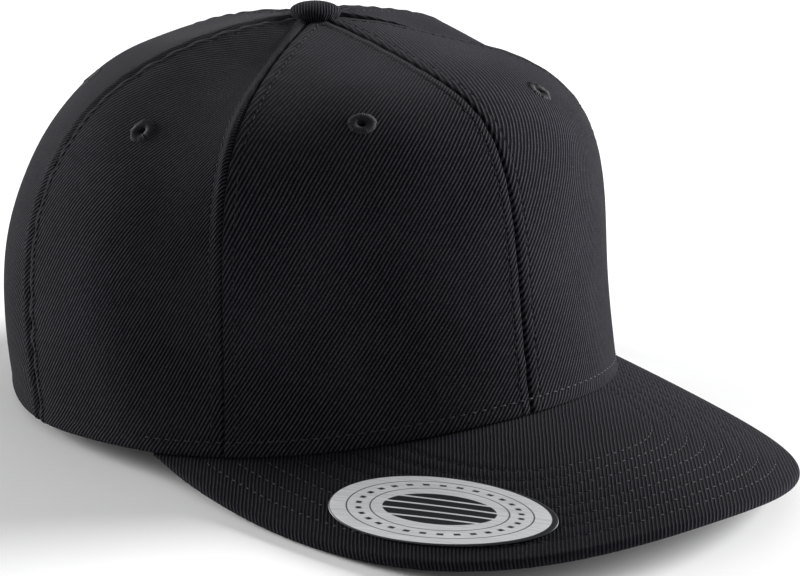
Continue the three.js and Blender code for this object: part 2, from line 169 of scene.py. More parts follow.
def around(radius: Array, turn: Array, height: Array) -> Array:
    """Points about the Z axis: (radius * cos turn, radius * sin turn, height)."""
    grids = np.broadcast_arrays(radius * np.cos(turn), radius * np.sin(turn), height)
    return np.stack(grids, axis=-1)


def level(plan: Array) -> Array:
    """Points (x, y, 0) from points (x, y)."""
    return np.concatenate([plan, np.zeros((*plan.shape[:-1], 1))], axis=-1)


@dataclass(frozen=True)
class Ripple:
    """Soft unevenness of cloth: a sum of sine waves in random directions, about 1 high.

    Attributes:
        wavelength: the middle length of the waves.
        seed: picks the waves.
        waves: how many are summed.
    """

    wavelength: float
    seed: int
    waves: int = 9

    def at(self, points: Array) -> Array:
        """Height of the ripple at points of any dimension."""
        chance = np.random.default_rng(self.seed)
        directions = unit(chance.normal(size=(self.waves, points.shape[-1])))
        rate = 2.0 * np.pi / self.wavelength * chance.uniform(0.65, 1.45, self.waves)
        start = chance.uniform(0.0, 2.0 * np.pi, self.waves)
        return np.sin(points @ (directions * rate[:, None]).T + start).sum(-1) / math.sqrt(self.waves)


@dataclass(frozen=True)
class SeamShape:
    """The crown's meridian at one seam.

    Attributes:
        angle: degrees from the front.
        reach: the rim's radius, as a share of the ellipse of the crown's length and width.
        lean: degrees that the wall leans in as it leaves the rim.
        wall: the lower handle, as a share of the crown's height.
        dip: degrees that the top slopes down from the button.
        top: the upper handle, as a share of the rim's radius there.
    """

    angle: float
    reach: float
    lean: float
    wall: float
    dip: float
    top: float


SEAMS = (
    SeamShape(angle=0.0, reach=1.01, lean=9.0, wall=0.745, dip=7.7, top=1.04),
    SeamShape(angle=55.5, reach=0.965, lean=7.0, wall=0.61, dip=6.9, top=1.22),
    SeamShape(angle=102.0, reach=1.013, lean=-2.5, wall=0.305, dip=-0.45, top=1.18),
    SeamShape(angle=180.0, reach=0.98, lean=-1.5, wall=0.635, dip=3.9, top=1.09),
)


@dataclass(frozen=True)
class CapShape:
    """The sewn shape of crown and visor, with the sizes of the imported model.

    Attributes:
        length: the crown from front to back at the rim.
        width: the crown from side to side at the rim.
        height: of the button's seat over the back rim.
        cloth: thickness of a panel.
        clearance: gap between pieces that lie on each other.
        visor_length: from the crown's front to the visor's edge.
        visor_height: of the visor's top at the crown's front.
        visor_droop: fall of the visor's top from there to its edge.
        visor_side_drop: fall of the visor's top from its middle to half the crown's width.
        visor_corner: angle from the front at which the visor ends.
        visor_turn: turn of the outline from straight ahead, at the visor's corner.
        visor_handle: handle of the outline's curve at the corner, as a share of the visor's length.
        visor_front: handle of the outline's curve at the front, as a share of half the width.
        rim_level: angle from the front behind which the rim lies level.
        arch_width: width of the back arch.
        arch_height: height of its top over the rim.
        arch_side: height of its upright sides.
    """

    length: float = 196.0
    width: float = 184.0
    height: float = 114.5
    cloth: float = 1.8
    clearance: float = 0.3
    visor_length: float = 73.5
    visor_height: float = 12.3
    visor_droop: float = 8.7
    visor_side_drop: float = 22.2
    visor_corner: float = math.radians(70.0)
    visor_turn: float = math.radians(15.7)
    visor_handle: float = 0.053
    visor_front: float = 1.12
    rim_level: float = math.radians(125.0)
    arch_width: float = 76.0
    arch_height: float = 50.0
    arch_side: float = 14.0

    def round_crown(self, angle: Array, column: str) -> Array:
        """A value of the seam table at any angle: the cubic in cos(angle) through the four seams."""
        nodes = [math.cos(math.radians(seam.angle)) for seam in SEAMS]
        c = np.cos(angle)
        total = np.zeros_like(c)
        for seam, node in zip(SEAMS, nodes):
            share = np.ones_like(c)
            for other in nodes:
                if other != node:
                    share = share * (c - other) / (node - other)
            total = total + getattr(seam, column) * share
        return total

    def rim_radius(self, angle: Array) -> Array:
        """Radius of the rim: reach / hypot(sin / half width, cos / half length)."""
        ellipse = np.hypot(np.sin(angle) / (self.width / 2), np.cos(angle) / (self.length / 2))
        return self.round_crown(angle, "reach") / ellipse

    def visor_top(self, x: Array, y: Array) -> Array:
        """Height of the visor: straight from back to front, and a falling parabola to both sides."""
        forward = -y - self.rim_radius(np.zeros(1))[0]
        side = x / (self.width / 2)
        fallen = self.visor_droop / self.visor_length * forward
        return self.visor_height - fallen - self.visor_side_drop * side**2

    def visor_normal(self, x: Array, y: Array) -> Array:
        """The way up out of the visor, from the slopes of its top."""
        down_side = 2.0 * self.visor_side_drop * x / (self.width / 2) ** 2
        down_front = np.full_like(down_side, -self.visor_droop / self.visor_length)
        return unit(np.stack([down_side, down_front, np.ones_like(down_side)], axis=-1))

    def rim_height(self, x: Array, y: Array) -> Array:
        """Height of the crown's lower edge: on the visor in front, then falling to level at the back."""
        angle = np.abs(np.arctan2(x, -y))
        radius = np.hypot(x, y)
        corner = self.visor_corner
        start = self.visor_top(radius * math.sin(corner), -radius * math.cos(corner)) + self.clearance
        fallen = start * (1.0 - smoothstep(angle, corner, self.rim_level))
        return np.where(angle <= corner, self.visor_top(x, y) + self.clearance, fallen)

    def point(self, angle: Array, up: Array) -> Array:
        """Outer face of the crown: a cubic meridian from the rim (up = 0) to the button (up = 1)."""
        angle, up = np.broadcast_arrays(angle, up)
        radius = self.rim_radius(angle)
        rim = self.rim_height(radius * np.sin(angle), -radius * np.cos(angle))
        lean = np.radians(self.round_crown(angle, "lean"))
        wall = self.round_crown(angle, "wall") * self.height
        dip = np.radians(self.round_crown(angle, "dip"))
        top = self.round_crown(angle, "top") * radius
        out = cubic(radius, radius - wall * np.sin(lean), top * np.cos(dip), 0.0 * radius, up)
        high = 0.0 * radius + self.height
        rise = cubic(rim, rim + wall * np.cos(lean), high - top * np.sin(dip), high, up)
        return np.stack([out * np.sin(angle), -out * np.cos(angle), rise], axis=-1)

    def normal(self, angle: Array, up: Array) -> Array:
        """The way out of the crown: the cross product of its slopes round and up."""
        step = 0.001
        low = np.clip(up, step, 1.0 - step) - step
        round_step = self.point(angle + step, up) - self.point(angle - step, up)
        rise_step = self.point(angle, low + 2.0 * step) - self.point(angle, low)
        return unit(np.cross(round_step, rise_step))

    def layer(self, angle: Array, up: Array, depth: Array) -> Array:
        """Points a given depth under the crown's outer face, never lower than its lower edge."""
        depth = np.broadcast_to(depth, np.broadcast(angle, up).shape)
        points = self.point(angle, up) - self.normal(angle, up) * depth[..., None]
        points[..., 2] = np.maximum(points[..., 2], self.rim_height(points[..., 0], points[..., 1]))
        return points

    def up_where(self, angle: Array, measure: str, value: Array) -> Array:
        """Share of a meridian at which its height rises to, or its radius falls to, a value.

        Args:
            angle: angles round the crown.
            measure: "height" or "radius".
            value: the height or radius to find, by halving.

        Returns:
            The share up the meridian at each angle.
        """
        low = np.zeros_like(angle)
        high = np.ones_like(angle)
        for _ in range(HALVINGS):
            middle = (low + high) / 2
            at = self.point(angle, middle)
            radius = np.hypot(at[..., 0], at[..., 1])
            reached = at[..., 2] >= value if measure == "height" else radius <= value
            low = np.where(reached, low, middle)
            high = np.where(reached, middle, high)
        return (low + high) / 2

    def back_wall(self, x: Array, z: Array) -> tuple[Array, Array]:
        """Angle and share up at which the back wall passes through a given side distance and height."""
        radius = np.full_like(x, self.length / 2)
        for _ in range(WALL_ROUNDS):
            angle = np.pi - np.arcsin(np.clip(x / radius, -1.0, 1.0))
            up = self.up_where(angle, "height", z)
            at = self.point(angle, up)
            radius = np.hypot(at[..., 0], at[..., 1])
        return angle, up

    def arch_line(self, margin: float, steps: int) -> tuple[Array, Array]:
        """The arch's left half, or a line a margin outside it, from the rim to the middle of the back.

        The side is upright and the top is a quarter of an ellipse.

        Args:
            margin: distance outside the arch's edge.
            steps: how many points each part has.

        Returns:
            Angle and share up along the line.
        """
        half = self.arch_width / 2 + margin
        turn = np.linspace(0.0, np.pi / 2, steps)
        x = np.concatenate([np.full(steps, half), half * np.cos(turn)])
        rise = self.arch_height - self.arch_side + margin
        upright = np.linspace(0.0, self.arch_side, steps)
        z = np.concatenate([upright, self.arch_side + rise * np.sin(turn)])
        return self.back_wall(x, z)

    def visor_outline(self, steps: int) -> Array:
        """The visor's outer edge in plan, from the right corner round the front to the left corner.

        Each half is one cubic curve that leaves the crown along its rim and ends straight across.

        Args:
            steps: how many steps each half has.

        Returns:
            Points (x, y) in order.
        """
        turn, corner = self.visor_turn, self.visor_corner
        radius = self.rim_radius(np.array([corner]))[0]
        start = np.array([radius * math.sin(corner), -radius * math.cos(corner)])
        end = np.array([0.0, -(self.rim_radius(np.zeros(1))[0] + self.visor_length)])
        handle = self.visor_handle * self.visor_length
        first = start - handle * np.array([math.sin(turn), math.cos(turn)])
        second = end + np.array([self.visor_front * self.width / 2, 0.0])
        t = np.linspace(0.0, 1.0, steps + 1)[:, None]
        left = cubic(start, first, second, end, t)
        return np.concatenate([left * [-1.0, 1.0], left[-2::-1]])


@dataclass(frozen=True)
class RestPose:
    """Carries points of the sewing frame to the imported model, where the cap lies on its visor and rim.

    Attributes:
        shape: the shape of the cap.
        tilt: turn about X at which the visor's sides and the back rim both touch the surface.
    """

    shape: CapShape
    tilt: float = math.radians(-2.2959)

    def turned(self, points: Array) -> Array:
        """Turns points about X by the tilt, without moving them."""
        c, s = math.cos(self.tilt), math.sin(self.tilt)
        x, y, z = np.moveaxis(points, -1, 0)
        return np.stack([x, y * c - z * s, y * s + z * c], axis=-1)

    def shift(self) -> Array:
        """The move after the turn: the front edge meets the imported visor's and the rim is at zero."""
        angle, up = self.shape.arch_line(0.0, 2)
        foot = self.turned(self.shape.point(angle[:1], up[:1]))[0]
        front = self.shape.visor_outline(2)[2]
        edge = Visor(self.shape).sheet(front, np.array(Visor.thickness / 2))
        packed_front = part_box("visor")[0].y / MM
        return np.array([0.0, packed_front - self.turned(edge)[1], -foot[2]])

    def world(self, points: Array) -> Array:
        """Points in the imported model's frame, in metres."""
        return (self.turned(points) + self.shift()) * MM


@dataclass
class Surface:
    """A closed surface in the sewing frame.

    Attributes:
        points: corners, one row each.
        quads: rows of four corner numbers, anticlockwise from outside.
        triangles: rows of three corner numbers.
        flat: each corner's place on the cloth's flat pattern.
    """

    points: Array
    quads: Array
    triangles: Array = field(default_factory=lambda: np.zeros((0, 3), int))
    flat: Array | None = None

    def __post_init__(self) -> None:
        """Uses the plan as the flat pattern where none is given."""
        if self.flat is None:
            self.flat = self.points[:, :2].copy()

    def compact(self) -> "Surface":
        """The same surface without corners that no face uses."""
        used = np.unique(np.concatenate([self.quads.ravel(), self.triangles.ravel()]))
        number = np.zeros(len(self.points), int)
        number[used] = np.arange(len(used))
        return Surface(self.points[used], number[self.quads], number[self.triangles], self.flat[used])


def joined(parts: list[Surface]) -> Surface:
    """Several surfaces as a single one."""
    starts = np.cumsum([0, *(len(part.points) for part in parts[:-1])])
    return Surface(
        points=np.concatenate([part.points for part in parts]),
        quads=np.concatenate([part.quads + start for part, start in zip(parts, starts)]),
        triangles=np.concatenate([part.triangles + start for part, start in zip(parts, starts)]),
        flat=np.concatenate([part.flat for part in parts]),
    )


def thick_sheet(outer: Array, inner: Array, flat: Array, kept: Array | None = None) -> Surface:
    """A sheet with an outer and an inner face, closed by walls along its edges and its holes.

    Args:
        outer: grid (m, n, 3) of the outer face, which looks along (first index) x (second index).
        inner: grid of the inner face, in the same order.
        flat: grid (m, n, 2) of the flat pattern.
        kept: which cells (m - 1, n - 1) are there; all of them if None.

    Returns:
        The closed surface.
    """
    m, n = outer.shape[:2]
    cells = np.ones((m - 1, n - 1), bool) if kept is None else kept
    number = np.arange(m * n).reshape(m, n)
    under = number + m * n
    faces = []
    for grid, order in ((number, (0, 1, 2, 3)), (under, (0, 3, 2, 1))):
        corners = [grid[:-1, :-1], grid[1:, :-1], grid[1:, 1:], grid[:-1, 1:]]
        faces.append(np.stack([corners[i][cells] for i in order], axis=-1))
    padded = np.pad(cells, 1)
    across = (number[:, :-1], number[:, 1:], under[:, 1:], under[:, :-1])
    along = (number[1:], number[:-1], under[:-1], under[1:])
    sides = ((across, padded[:-1, 1:-1], padded[1:, 1:-1]), (along, padded[1:-1, :-1], padded[1:-1, 1:]))
    for walls, before, after in sides:
        faces.append(np.stack([grid[after & ~before] for grid in walls], axis=-1))
        faces.append(np.stack([grid[before & ~after] for grid in walls], axis=-1)[:, ::-1])
    points = np.concatenate([outer.reshape(-1, 3), inner.reshape(-1, 3)])
    pattern = np.concatenate([flat.reshape(-1, 2)] * 2)
    return Surface(points, np.concatenate(faces), flat=pattern).compact()


def loop_quads(rings: int, sides: int, closed: bool) -> Array:
    """Faces between rings of corners, each ring closed on itself.

    Args:
        rings: how many rings follow each other.
        sides: corners of each ring.
        closed: whether the last ring meets the first.

    Returns:
        Rows of four corner numbers, which run along the ring first.
    """
    number = np.arange(rings * sides).reshape(rings, sides)
    after = np.roll(number, -1, axis=0) if closed else number[1:]
    here = number if closed else number[:-1]
    turned = [here, np.roll(here, -1, axis=1), np.roll(after, -1, axis=1), after]
    return np.stack([grid.ravel() for grid in turned], axis=-1)


def turned_round(rings: Array, flat: Array) -> Surface:
    """A closed surface of rings from a pole below to a pole above.

    Args:
        rings: grid (rings, sides, 3), from below to above; each ring turns anticlockwise seen from above,
            and the first and last ring are points.
        flat: grid (rings, sides, 2) of the flat pattern.

    Returns:
        The surface, with a single corner at each pole.
    """
    count, sides = rings.shape[:2]
    middle = rings[1:-1].reshape(-1, 3)
    points = np.concatenate([rings[0, :1], middle, rings[-1, :1]])
    pattern = np.concatenate([flat[0, :1], flat[1:-1].reshape(-1, 2), flat[-1, :1]])
    here = np.arange(sides)
    after = np.roll(here, -1)
    low, last = 1, 1 + (count - 3) * sides
    bottom = np.stack([np.zeros(sides, int), low + after, low + here], axis=-1)
    top = np.stack([last + here, last + after, np.full(sides, len(points) - 1)], axis=-1)
    quads = loop_quads(count - 2, sides, closed=False) + 1
    return Surface(points, quads, np.concatenate([bottom, top]), pattern)


def axes_along(direction: Array) -> Array:
    """Rows of three right-handed axes for each given unit vector, which is the third of them."""
    helper = np.where(np.abs(direction[..., 1:2]) < 0.9, [0.0, 1.0, 0.0], [1.0, 0.0, 0.0])
    first = unit(np.cross(helper, direction))
    return np.stack([first, np.cross(direction, first), direction], axis=-2)


# Rings of a stitch's bead: place along it, width and height, as shares of half its length and thickness.
BEAD_RINGS = ((-1.0, 0.0, -1.2), (-0.62, 0.8, 0.0), (0.0, 1.0, 0.35), (0.62, 0.8, 0.0), (1.0, 0.0, -1.2))


@dataclass(frozen=True)
class Stitch:
    """One visible stitch: a low bead of thread that dives into the cloth at both ends.

    Attributes:
        pitch: distance from one stitch to the next.
        length: length that shows.
        thickness: width of the thread.
        lift: height of the thread's middle above the line it is sewn on, as a share of its thickness.
        jitter: how far the stitches wander along the line.
        slant: how far they slant to either side.
    """

    pitch: float = 3.0
    length: float = 2.3
    thickness: float = 0.42
    lift: float = 0.15
    jitter: float = 0.09
    slant: float = 0.05

    def bead(self) -> Surface:
        """One stitch: three rings of four corners between two end points."""
        place, wide, high = (column[:, None] for column in np.array(BEAD_RINGS).T)
        turn = full_turn(4)
        lifted = wide * np.sin(turn) + high + 2.0 * self.lift
        grids = np.broadcast_arrays(place, wide * np.cos(turn), lifted)
        rings = np.stack(grids, axis=-1) * [self.length / 2, self.thickness / 2, self.thickness / 2]
        return turned_round(rings, rings[..., :2])

    def along(self, line: Array, normals: Array, seed: int) -> Surface:
        """A row of stitches.

        Each one's corners are its middle + x * tangent + w * sideways + h * normal.

        Args:
            line: points of the sewn line.
            normals: the way out of the cloth at each of them.
            seed: picks the small unevenness of the stitches.

        Returns:
            All the stitches as one surface.
        """
        total = arc_lengths(line)[-1]
        count = int(total / self.pitch)
        chance = np.random.default_rng(seed)
        middle = (np.arange(count) + 0.5) * total / count + chance.normal(0.0, self.jitter, count)
        both = np.concatenate([line, normals], axis=1)
        here = at_length(both, middle)
        ahead = at_length(line, middle + self.length / 2) - at_length(line, middle - self.length / 2)
        tangent = unit(ahead)
        out = unit(here[:, 3:])
        sideways = unit(np.cross(out, tangent))
        tangent = unit(tangent + self.slant * chance.normal(size=(count, 1)) * sideways)
        out = np.cross(tangent, sideways)
        bead = self.bead()
        size = len(bead.points)
        axes = np.stack([tangent, sideways, out], axis=1)
        corners = np.einsum("ki,nij->nkj", bead.points, axes) + here[:, None, :3]
        step = (np.arange(count) * size)[:, None, None]
        flat = np.repeat(bead.flat[None], count, axis=0)
        flat[..., 0] += middle[:, None]
        return Surface(
            corners.reshape(-1, 3),
            (bead.quads[None] + step).reshape(-1, 4),
            (bead.triangles[None] + step).reshape(-1, 3),
            flat.reshape(-1, 2),
        )


class Recipe:
    """A material's node tree, written one step at a time."""

    def __init__(self, name: str, constants: dict[str, float | tuple[float, ...]]) -> None:
        """Starts the tree with its shader.

        Args:
            name: the material's name.
            constants: values set on the shader's own sockets, by their names.
        """
        self.material = bpy.data.materials.new(name)
        self.material.use_nodes = True
        self.tree = self.material.node_tree
        self.tree.nodes.clear()
        output = self.tree.nodes.new("ShaderNodeOutputMaterial")
        self.shader = self.tree.nodes.new("ShaderNodeBsdfPrincipled")
        self.tree.links.new(self.shader.outputs["BSDF"], output.inputs["Surface"])
        for socket, value in constants.items():
            self.shader.inputs[socket].default_value = value

    def put(self, target: Socket, value: Value) -> None:
        """Links a socket to an input, or sets the input to a constant."""
        if isinstance(value, bpy.types.NodeSocket):
            self.tree.links.new(value, target)
        else:
            target.default_value = value

    def place(self, pattern: Pattern) -> Socket:
        """Coordinates of a pattern, in metres."""
        return self.tree.nodes.new("ShaderNodeTexCoord").outputs[pattern.value]

    def step(self, kind: str, inputs: dict[int | str, Value], **choices: str) -> bpy.types.Node:
        """Adds a node.

        Args:
            kind: its kind, without Blender's prefix.
            inputs: a link or a constant for each input, by number or name.
            choices: named settings of the node, which are made first.

        Returns:
            The node.
        """
        node = self.tree.nodes.new(f"ShaderNode{kind}")
        for name, choice in choices.items():
            setattr(node, name, choice)
        for name, value in inputs.items():
            self.put(node.inputs[name], value)
        return node

    def split(self, vector: Socket) -> tuple[Socket, Socket]:
        """First two parts of a vector."""
        node = self.step("SeparateXYZ", {0: vector})
        return node.outputs[0], node.outputs[1]

    def vector(self, x: Value, y: Value) -> Socket:
        """A vector with the two given parts and a third of zero."""
        return self.step("CombineXYZ", {0: x, 1: y}).outputs[0]

    def math(self, operation: str, first: Value, second: Value = 0.0) -> Socket:
        """One step of arithmetic, by the name that Blender gives it."""
        return self.step("Math", {0: first, 1: second}, operation=operation).outputs[0]

    def add(self, first: Value, second: Value) -> Socket:
        """first + second."""
        return self.math("ADD", first, second)

    def times(self, first: Value, second: Value) -> Socket:
        """first * second."""
        return self.math("MULTIPLY", first, second)

    def sine(self, angle: Value) -> Socket:
        """The sine of an angle in radians."""
        return self.math("SINE", angle)

    def floor(self, value: Value) -> Socket:
        """The whole number below a value."""
        return self.math("FLOOR", value)

    def scaled(self, value: Value, factor: float, shift: float = 0.0) -> Socket:
        """value * factor + shift."""
        inputs = {0: value, 1: factor, 2: shift}
        return self.step("Math", inputs, operation="MULTIPLY_ADD").outputs[0]

    def ramp(self, value: Socket, low: float, high: float) -> Socket:
        """0 below low, 1 above high and a smooth rise between them."""
        inputs = {"Value": value, "From Min": low, "From Max": high}
        return self.step("MapRange", inputs, interpolation_type="SMOOTHSTEP").outputs[0]

    def noise(self, vector: Socket, grain: float, detail: float = 2.0) -> Socket:
        """Noise from 0 to 1 with grains of a given size in metres."""
        inputs = {"Vector": vector, "Scale": 1.0 / grain, "Detail": detail}
        return self.step("TexNoise", inputs).outputs[0]

    def chance(self, vector: Socket) -> Socket:
        """A random value from 0 to 1 for each whole-numbered vector."""
        return self.step("TexWhiteNoise", {"Vector": vector}).outputs["Value"]

    def mix(self, share: Socket, first: Value, second: Value) -> Socket:
        """Mixes two colours by a share."""
        return self.step("Mix", {0: share, 6: first, 7: second}, data_type="RGBA").outputs[2]

    def colour(self, share: Socket, first: Colour, second: Colour) -> Socket:
        """A colour between two others: the first where share is 0, the second where it is 1."""
        return self.mix(share, (*first, 1.0), (*second, 1.0))

    def finish(self, colour: Socket, height: Socket, depth: float, strength: float) -> Material:
        """Links the colour and the bump, and gives the material.

        Args:
            colour: the base colour.
            height: the relief, from 0 to 1.
            depth: the relief's full height in metres.
            strength: how much of it shows.

        Returns:
            The material.
        """
        bump = self.step("Bump", {"Strength": strength, "Distance": depth, "Height": height})
        self.put(self.shader.inputs["Base Color"], colour)
        self.put(self.shader.inputs["Normal"], bump.outputs[0])
        return self.material


@dataclass(frozen=True)
class TwillFinish:
    """Twill cloth: slanting ribs of short yarn floats on the flat pattern, with fuzz between them.

    Attributes:
        name: the material's name.
        rib: colour on a rib.
        groove: colour between ribs: the rib colour darkened by painted shade of the hollows there.
        pitch: distance between ribs, in metres.
        lean: degrees that the ribs lean from the pattern's second axis towards its first.
        sheen: strength of the cloth's sheen.
        tone: how much the wide tone varies.
        nap: how much of the ribs the nap hides high on the pattern.
        nap_from: height on the pattern at which the nap starts, in metres.
        nap_full: height at which it is full.
        float_length: length of a yarn float, as a share of the pitch.
        float_step: step of the floats from one rib to the next, as a share of a float.
        depth: depth of the relief, in metres.
    """

    name: str
    rib: Colour
    groove: Colour
    pitch: float = 0.00115
    lean: float = 37.0
    sheen: float = 0.03
    tone: float = 0.08
    nap: float = 0.0
    nap_from: float = 0.078
    nap_full: float = 0.128
    float_length: float = 0.95
    float_step: float = 0.37
    depth: float = 0.00025

    def material(self) -> Material:
        """Ribs are a sine of the distance across them; floats cut each rib, a step on from the last."""
        recipe = Recipe(self.name, {
            "Roughness": 0.92,
            "Specular IOR Level": 0.02,
            "Sheen Weight": self.sheen,
            "Sheen Roughness": 0.45,
            "Sheen Tint": (0.93, 0.95, 1.0, 1.0),
        })
        place = recipe.place(Pattern.FLAT_MAP)
        u, v = recipe.split(place)
        lean = math.radians(self.lean)
        wobble = recipe.scaled(recipe.noise(place, 0.009, 2.0), 0.5, -0.25)
        across = recipe.add(recipe.scaled(u, math.cos(lean)), recipe.scaled(v, -math.sin(lean)))
        along = recipe.add(recipe.scaled(u, math.sin(lean)), recipe.scaled(v, math.cos(lean)))
        count = recipe.add(recipe.scaled(across, 1.0 / self.pitch), wobble)
        rib = recipe.scaled(recipe.sine(recipe.scaled(count, 2.0 * math.pi)), 0.5, 0.5)
        row = recipe.floor(recipe.scaled(count, 1.0, 0.25))
        passed = recipe.scaled(along, 1.0 / (self.float_length * self.pitch))
        floats = recipe.add(passed, recipe.scaled(row, self.float_step))
        cut = recipe.scaled(recipe.sine(recipe.scaled(floats, 2.0 * math.pi)), 0.5, 0.5)
        chance = recipe.chance(recipe.vector(row, recipe.floor(recipe.scaled(floats, 1.0, 0.25))))
        yarn = recipe.times(recipe.times(rib, rib), recipe.scaled(chance, 0.45, 0.6))
        napped = recipe.scaled(recipe.ramp(v, self.nap_from, self.nap_full), self.nap)
        yarn = recipe.add(yarn, recipe.times(napped, recipe.scaled(yarn, -1.0, 0.42)))
        fuzz = recipe.noise(place, 0.00036, 2.0)
        worn = recipe.ramp(recipe.noise(place, 0.028, 2.0), 0.32, 0.66)
        relief = recipe.add(yarn, recipe.times(recipe.scaled(cut, 0.12), rib))
        relief = recipe.add(relief, recipe.scaled(fuzz, 0.6, -0.28))
        # The colour follows the relief: the weave pattern is the cloth's own, but the dark between ribs
        # is painted shade of the hollows.
        tone = recipe.add(relief, recipe.scaled(worn, -self.tone, self.tone / 2))
        return recipe.finish(recipe.colour(tone, self.groove, self.rib), relief, self.depth, 0.9)


@dataclass(frozen=True)
class ThreadFinish:
    """Sewing thread: two strands twisted together, seen as slanting bands along the stitch.

    Attributes:
        name: the material's name.
        light: colour on a strand.
        dark: colour between strands.
        roughness: the shader's roughness.
        twist: distance from one strand to the next, in metres.
    """

    name: str
    light: Colour
    dark: Colour
    roughness: float = 0.7
    twist: float = 0.0005

    def material(self) -> Material:
        """Bands are a sine of the flat pattern's length plus its width."""
        constants = {"Roughness": self.roughness, "Specular IOR Level": 0.2, "Sheen Weight": 0.03}
        recipe = Recipe(self.name, constants)
        place = recipe.place(Pattern.FLAT_MAP)
        u, v = recipe.split(place)
        slanting = recipe.scaled(recipe.add(u, v), 2.0 * math.pi / self.twist)
        strand = recipe.scaled(recipe.sine(slanting), 0.35, 0.5)
        fuzz = recipe.add(strand, recipe.scaled(recipe.noise(place, 0.0006), 0.5, -0.25))
        return recipe.finish(recipe.colour(fuzz, self.dark, self.light), fuzz, 0.0001, 0.5)


@dataclass(frozen=True)
class BandFinish:
    """Plain woven band: threads over and under each other in small squares.

    Attributes:
        name: the material's name.
        thread: colour of the threads.
        gap: colour between them.
        pitch: distance over which the weave repeats, in metres.
    """

    name: str
    thread: Colour
    gap: Colour
    pitch: float = 0.0009

    def material(self) -> Material:
        """The weave is the product of a sine along and a sine across."""
        recipe = Recipe(self.name, {"Roughness": 0.88, "Specular IOR Level": 0.2, "Sheen Weight": 0.15})
        place = recipe.place(Pattern.FLAT_MAP)
        u, v = recipe.split(place)
        rate = 2.0 * math.pi / self.pitch
        one = recipe.sine(recipe.scaled(u, rate))
        two = recipe.sine(recipe.scaled(v, rate))
        weave = recipe.scaled(recipe.times(one, two), 0.4, 0.5)
        fuzz = recipe.add(weave, recipe.scaled(recipe.noise(place, 0.0007), 0.4, -0.2))
        return recipe.finish(recipe.colour(fuzz, self.gap, self.thread), fuzz, 0.00015, 0.6)


@dataclass(frozen=True)
class PlasticFinish:
    """Moulded satin plastic with a fine grain and a few rubbed patches.

    Attributes:
        name: the material's name.
        base: its colour.
        rubbed: colour of the rubbed patches.
        grain: size of the grain, in metres.
        patch: size of the patches, in metres.
    """

    name: str
    base: Colour
    rubbed: Colour
    grain: float = 0.0006
    patch: float = 0.011

    def material(self) -> Material:
        """Grain is fine noise; rubbed patches are wide noise above a level."""
        recipe = Recipe(self.name, {"Roughness": 0.42, "Specular IOR Level": 0.45})
        place = recipe.place(Pattern.SOLID)
        grain = recipe.noise(place, self.grain, 3.0)
        patches = recipe.ramp(recipe.noise(place, self.patch, 4.0), 0.52, 0.74)
        return recipe.finish(recipe.colour(patches, self.base, self.rubbed), grain, 0.00006, 0.35)


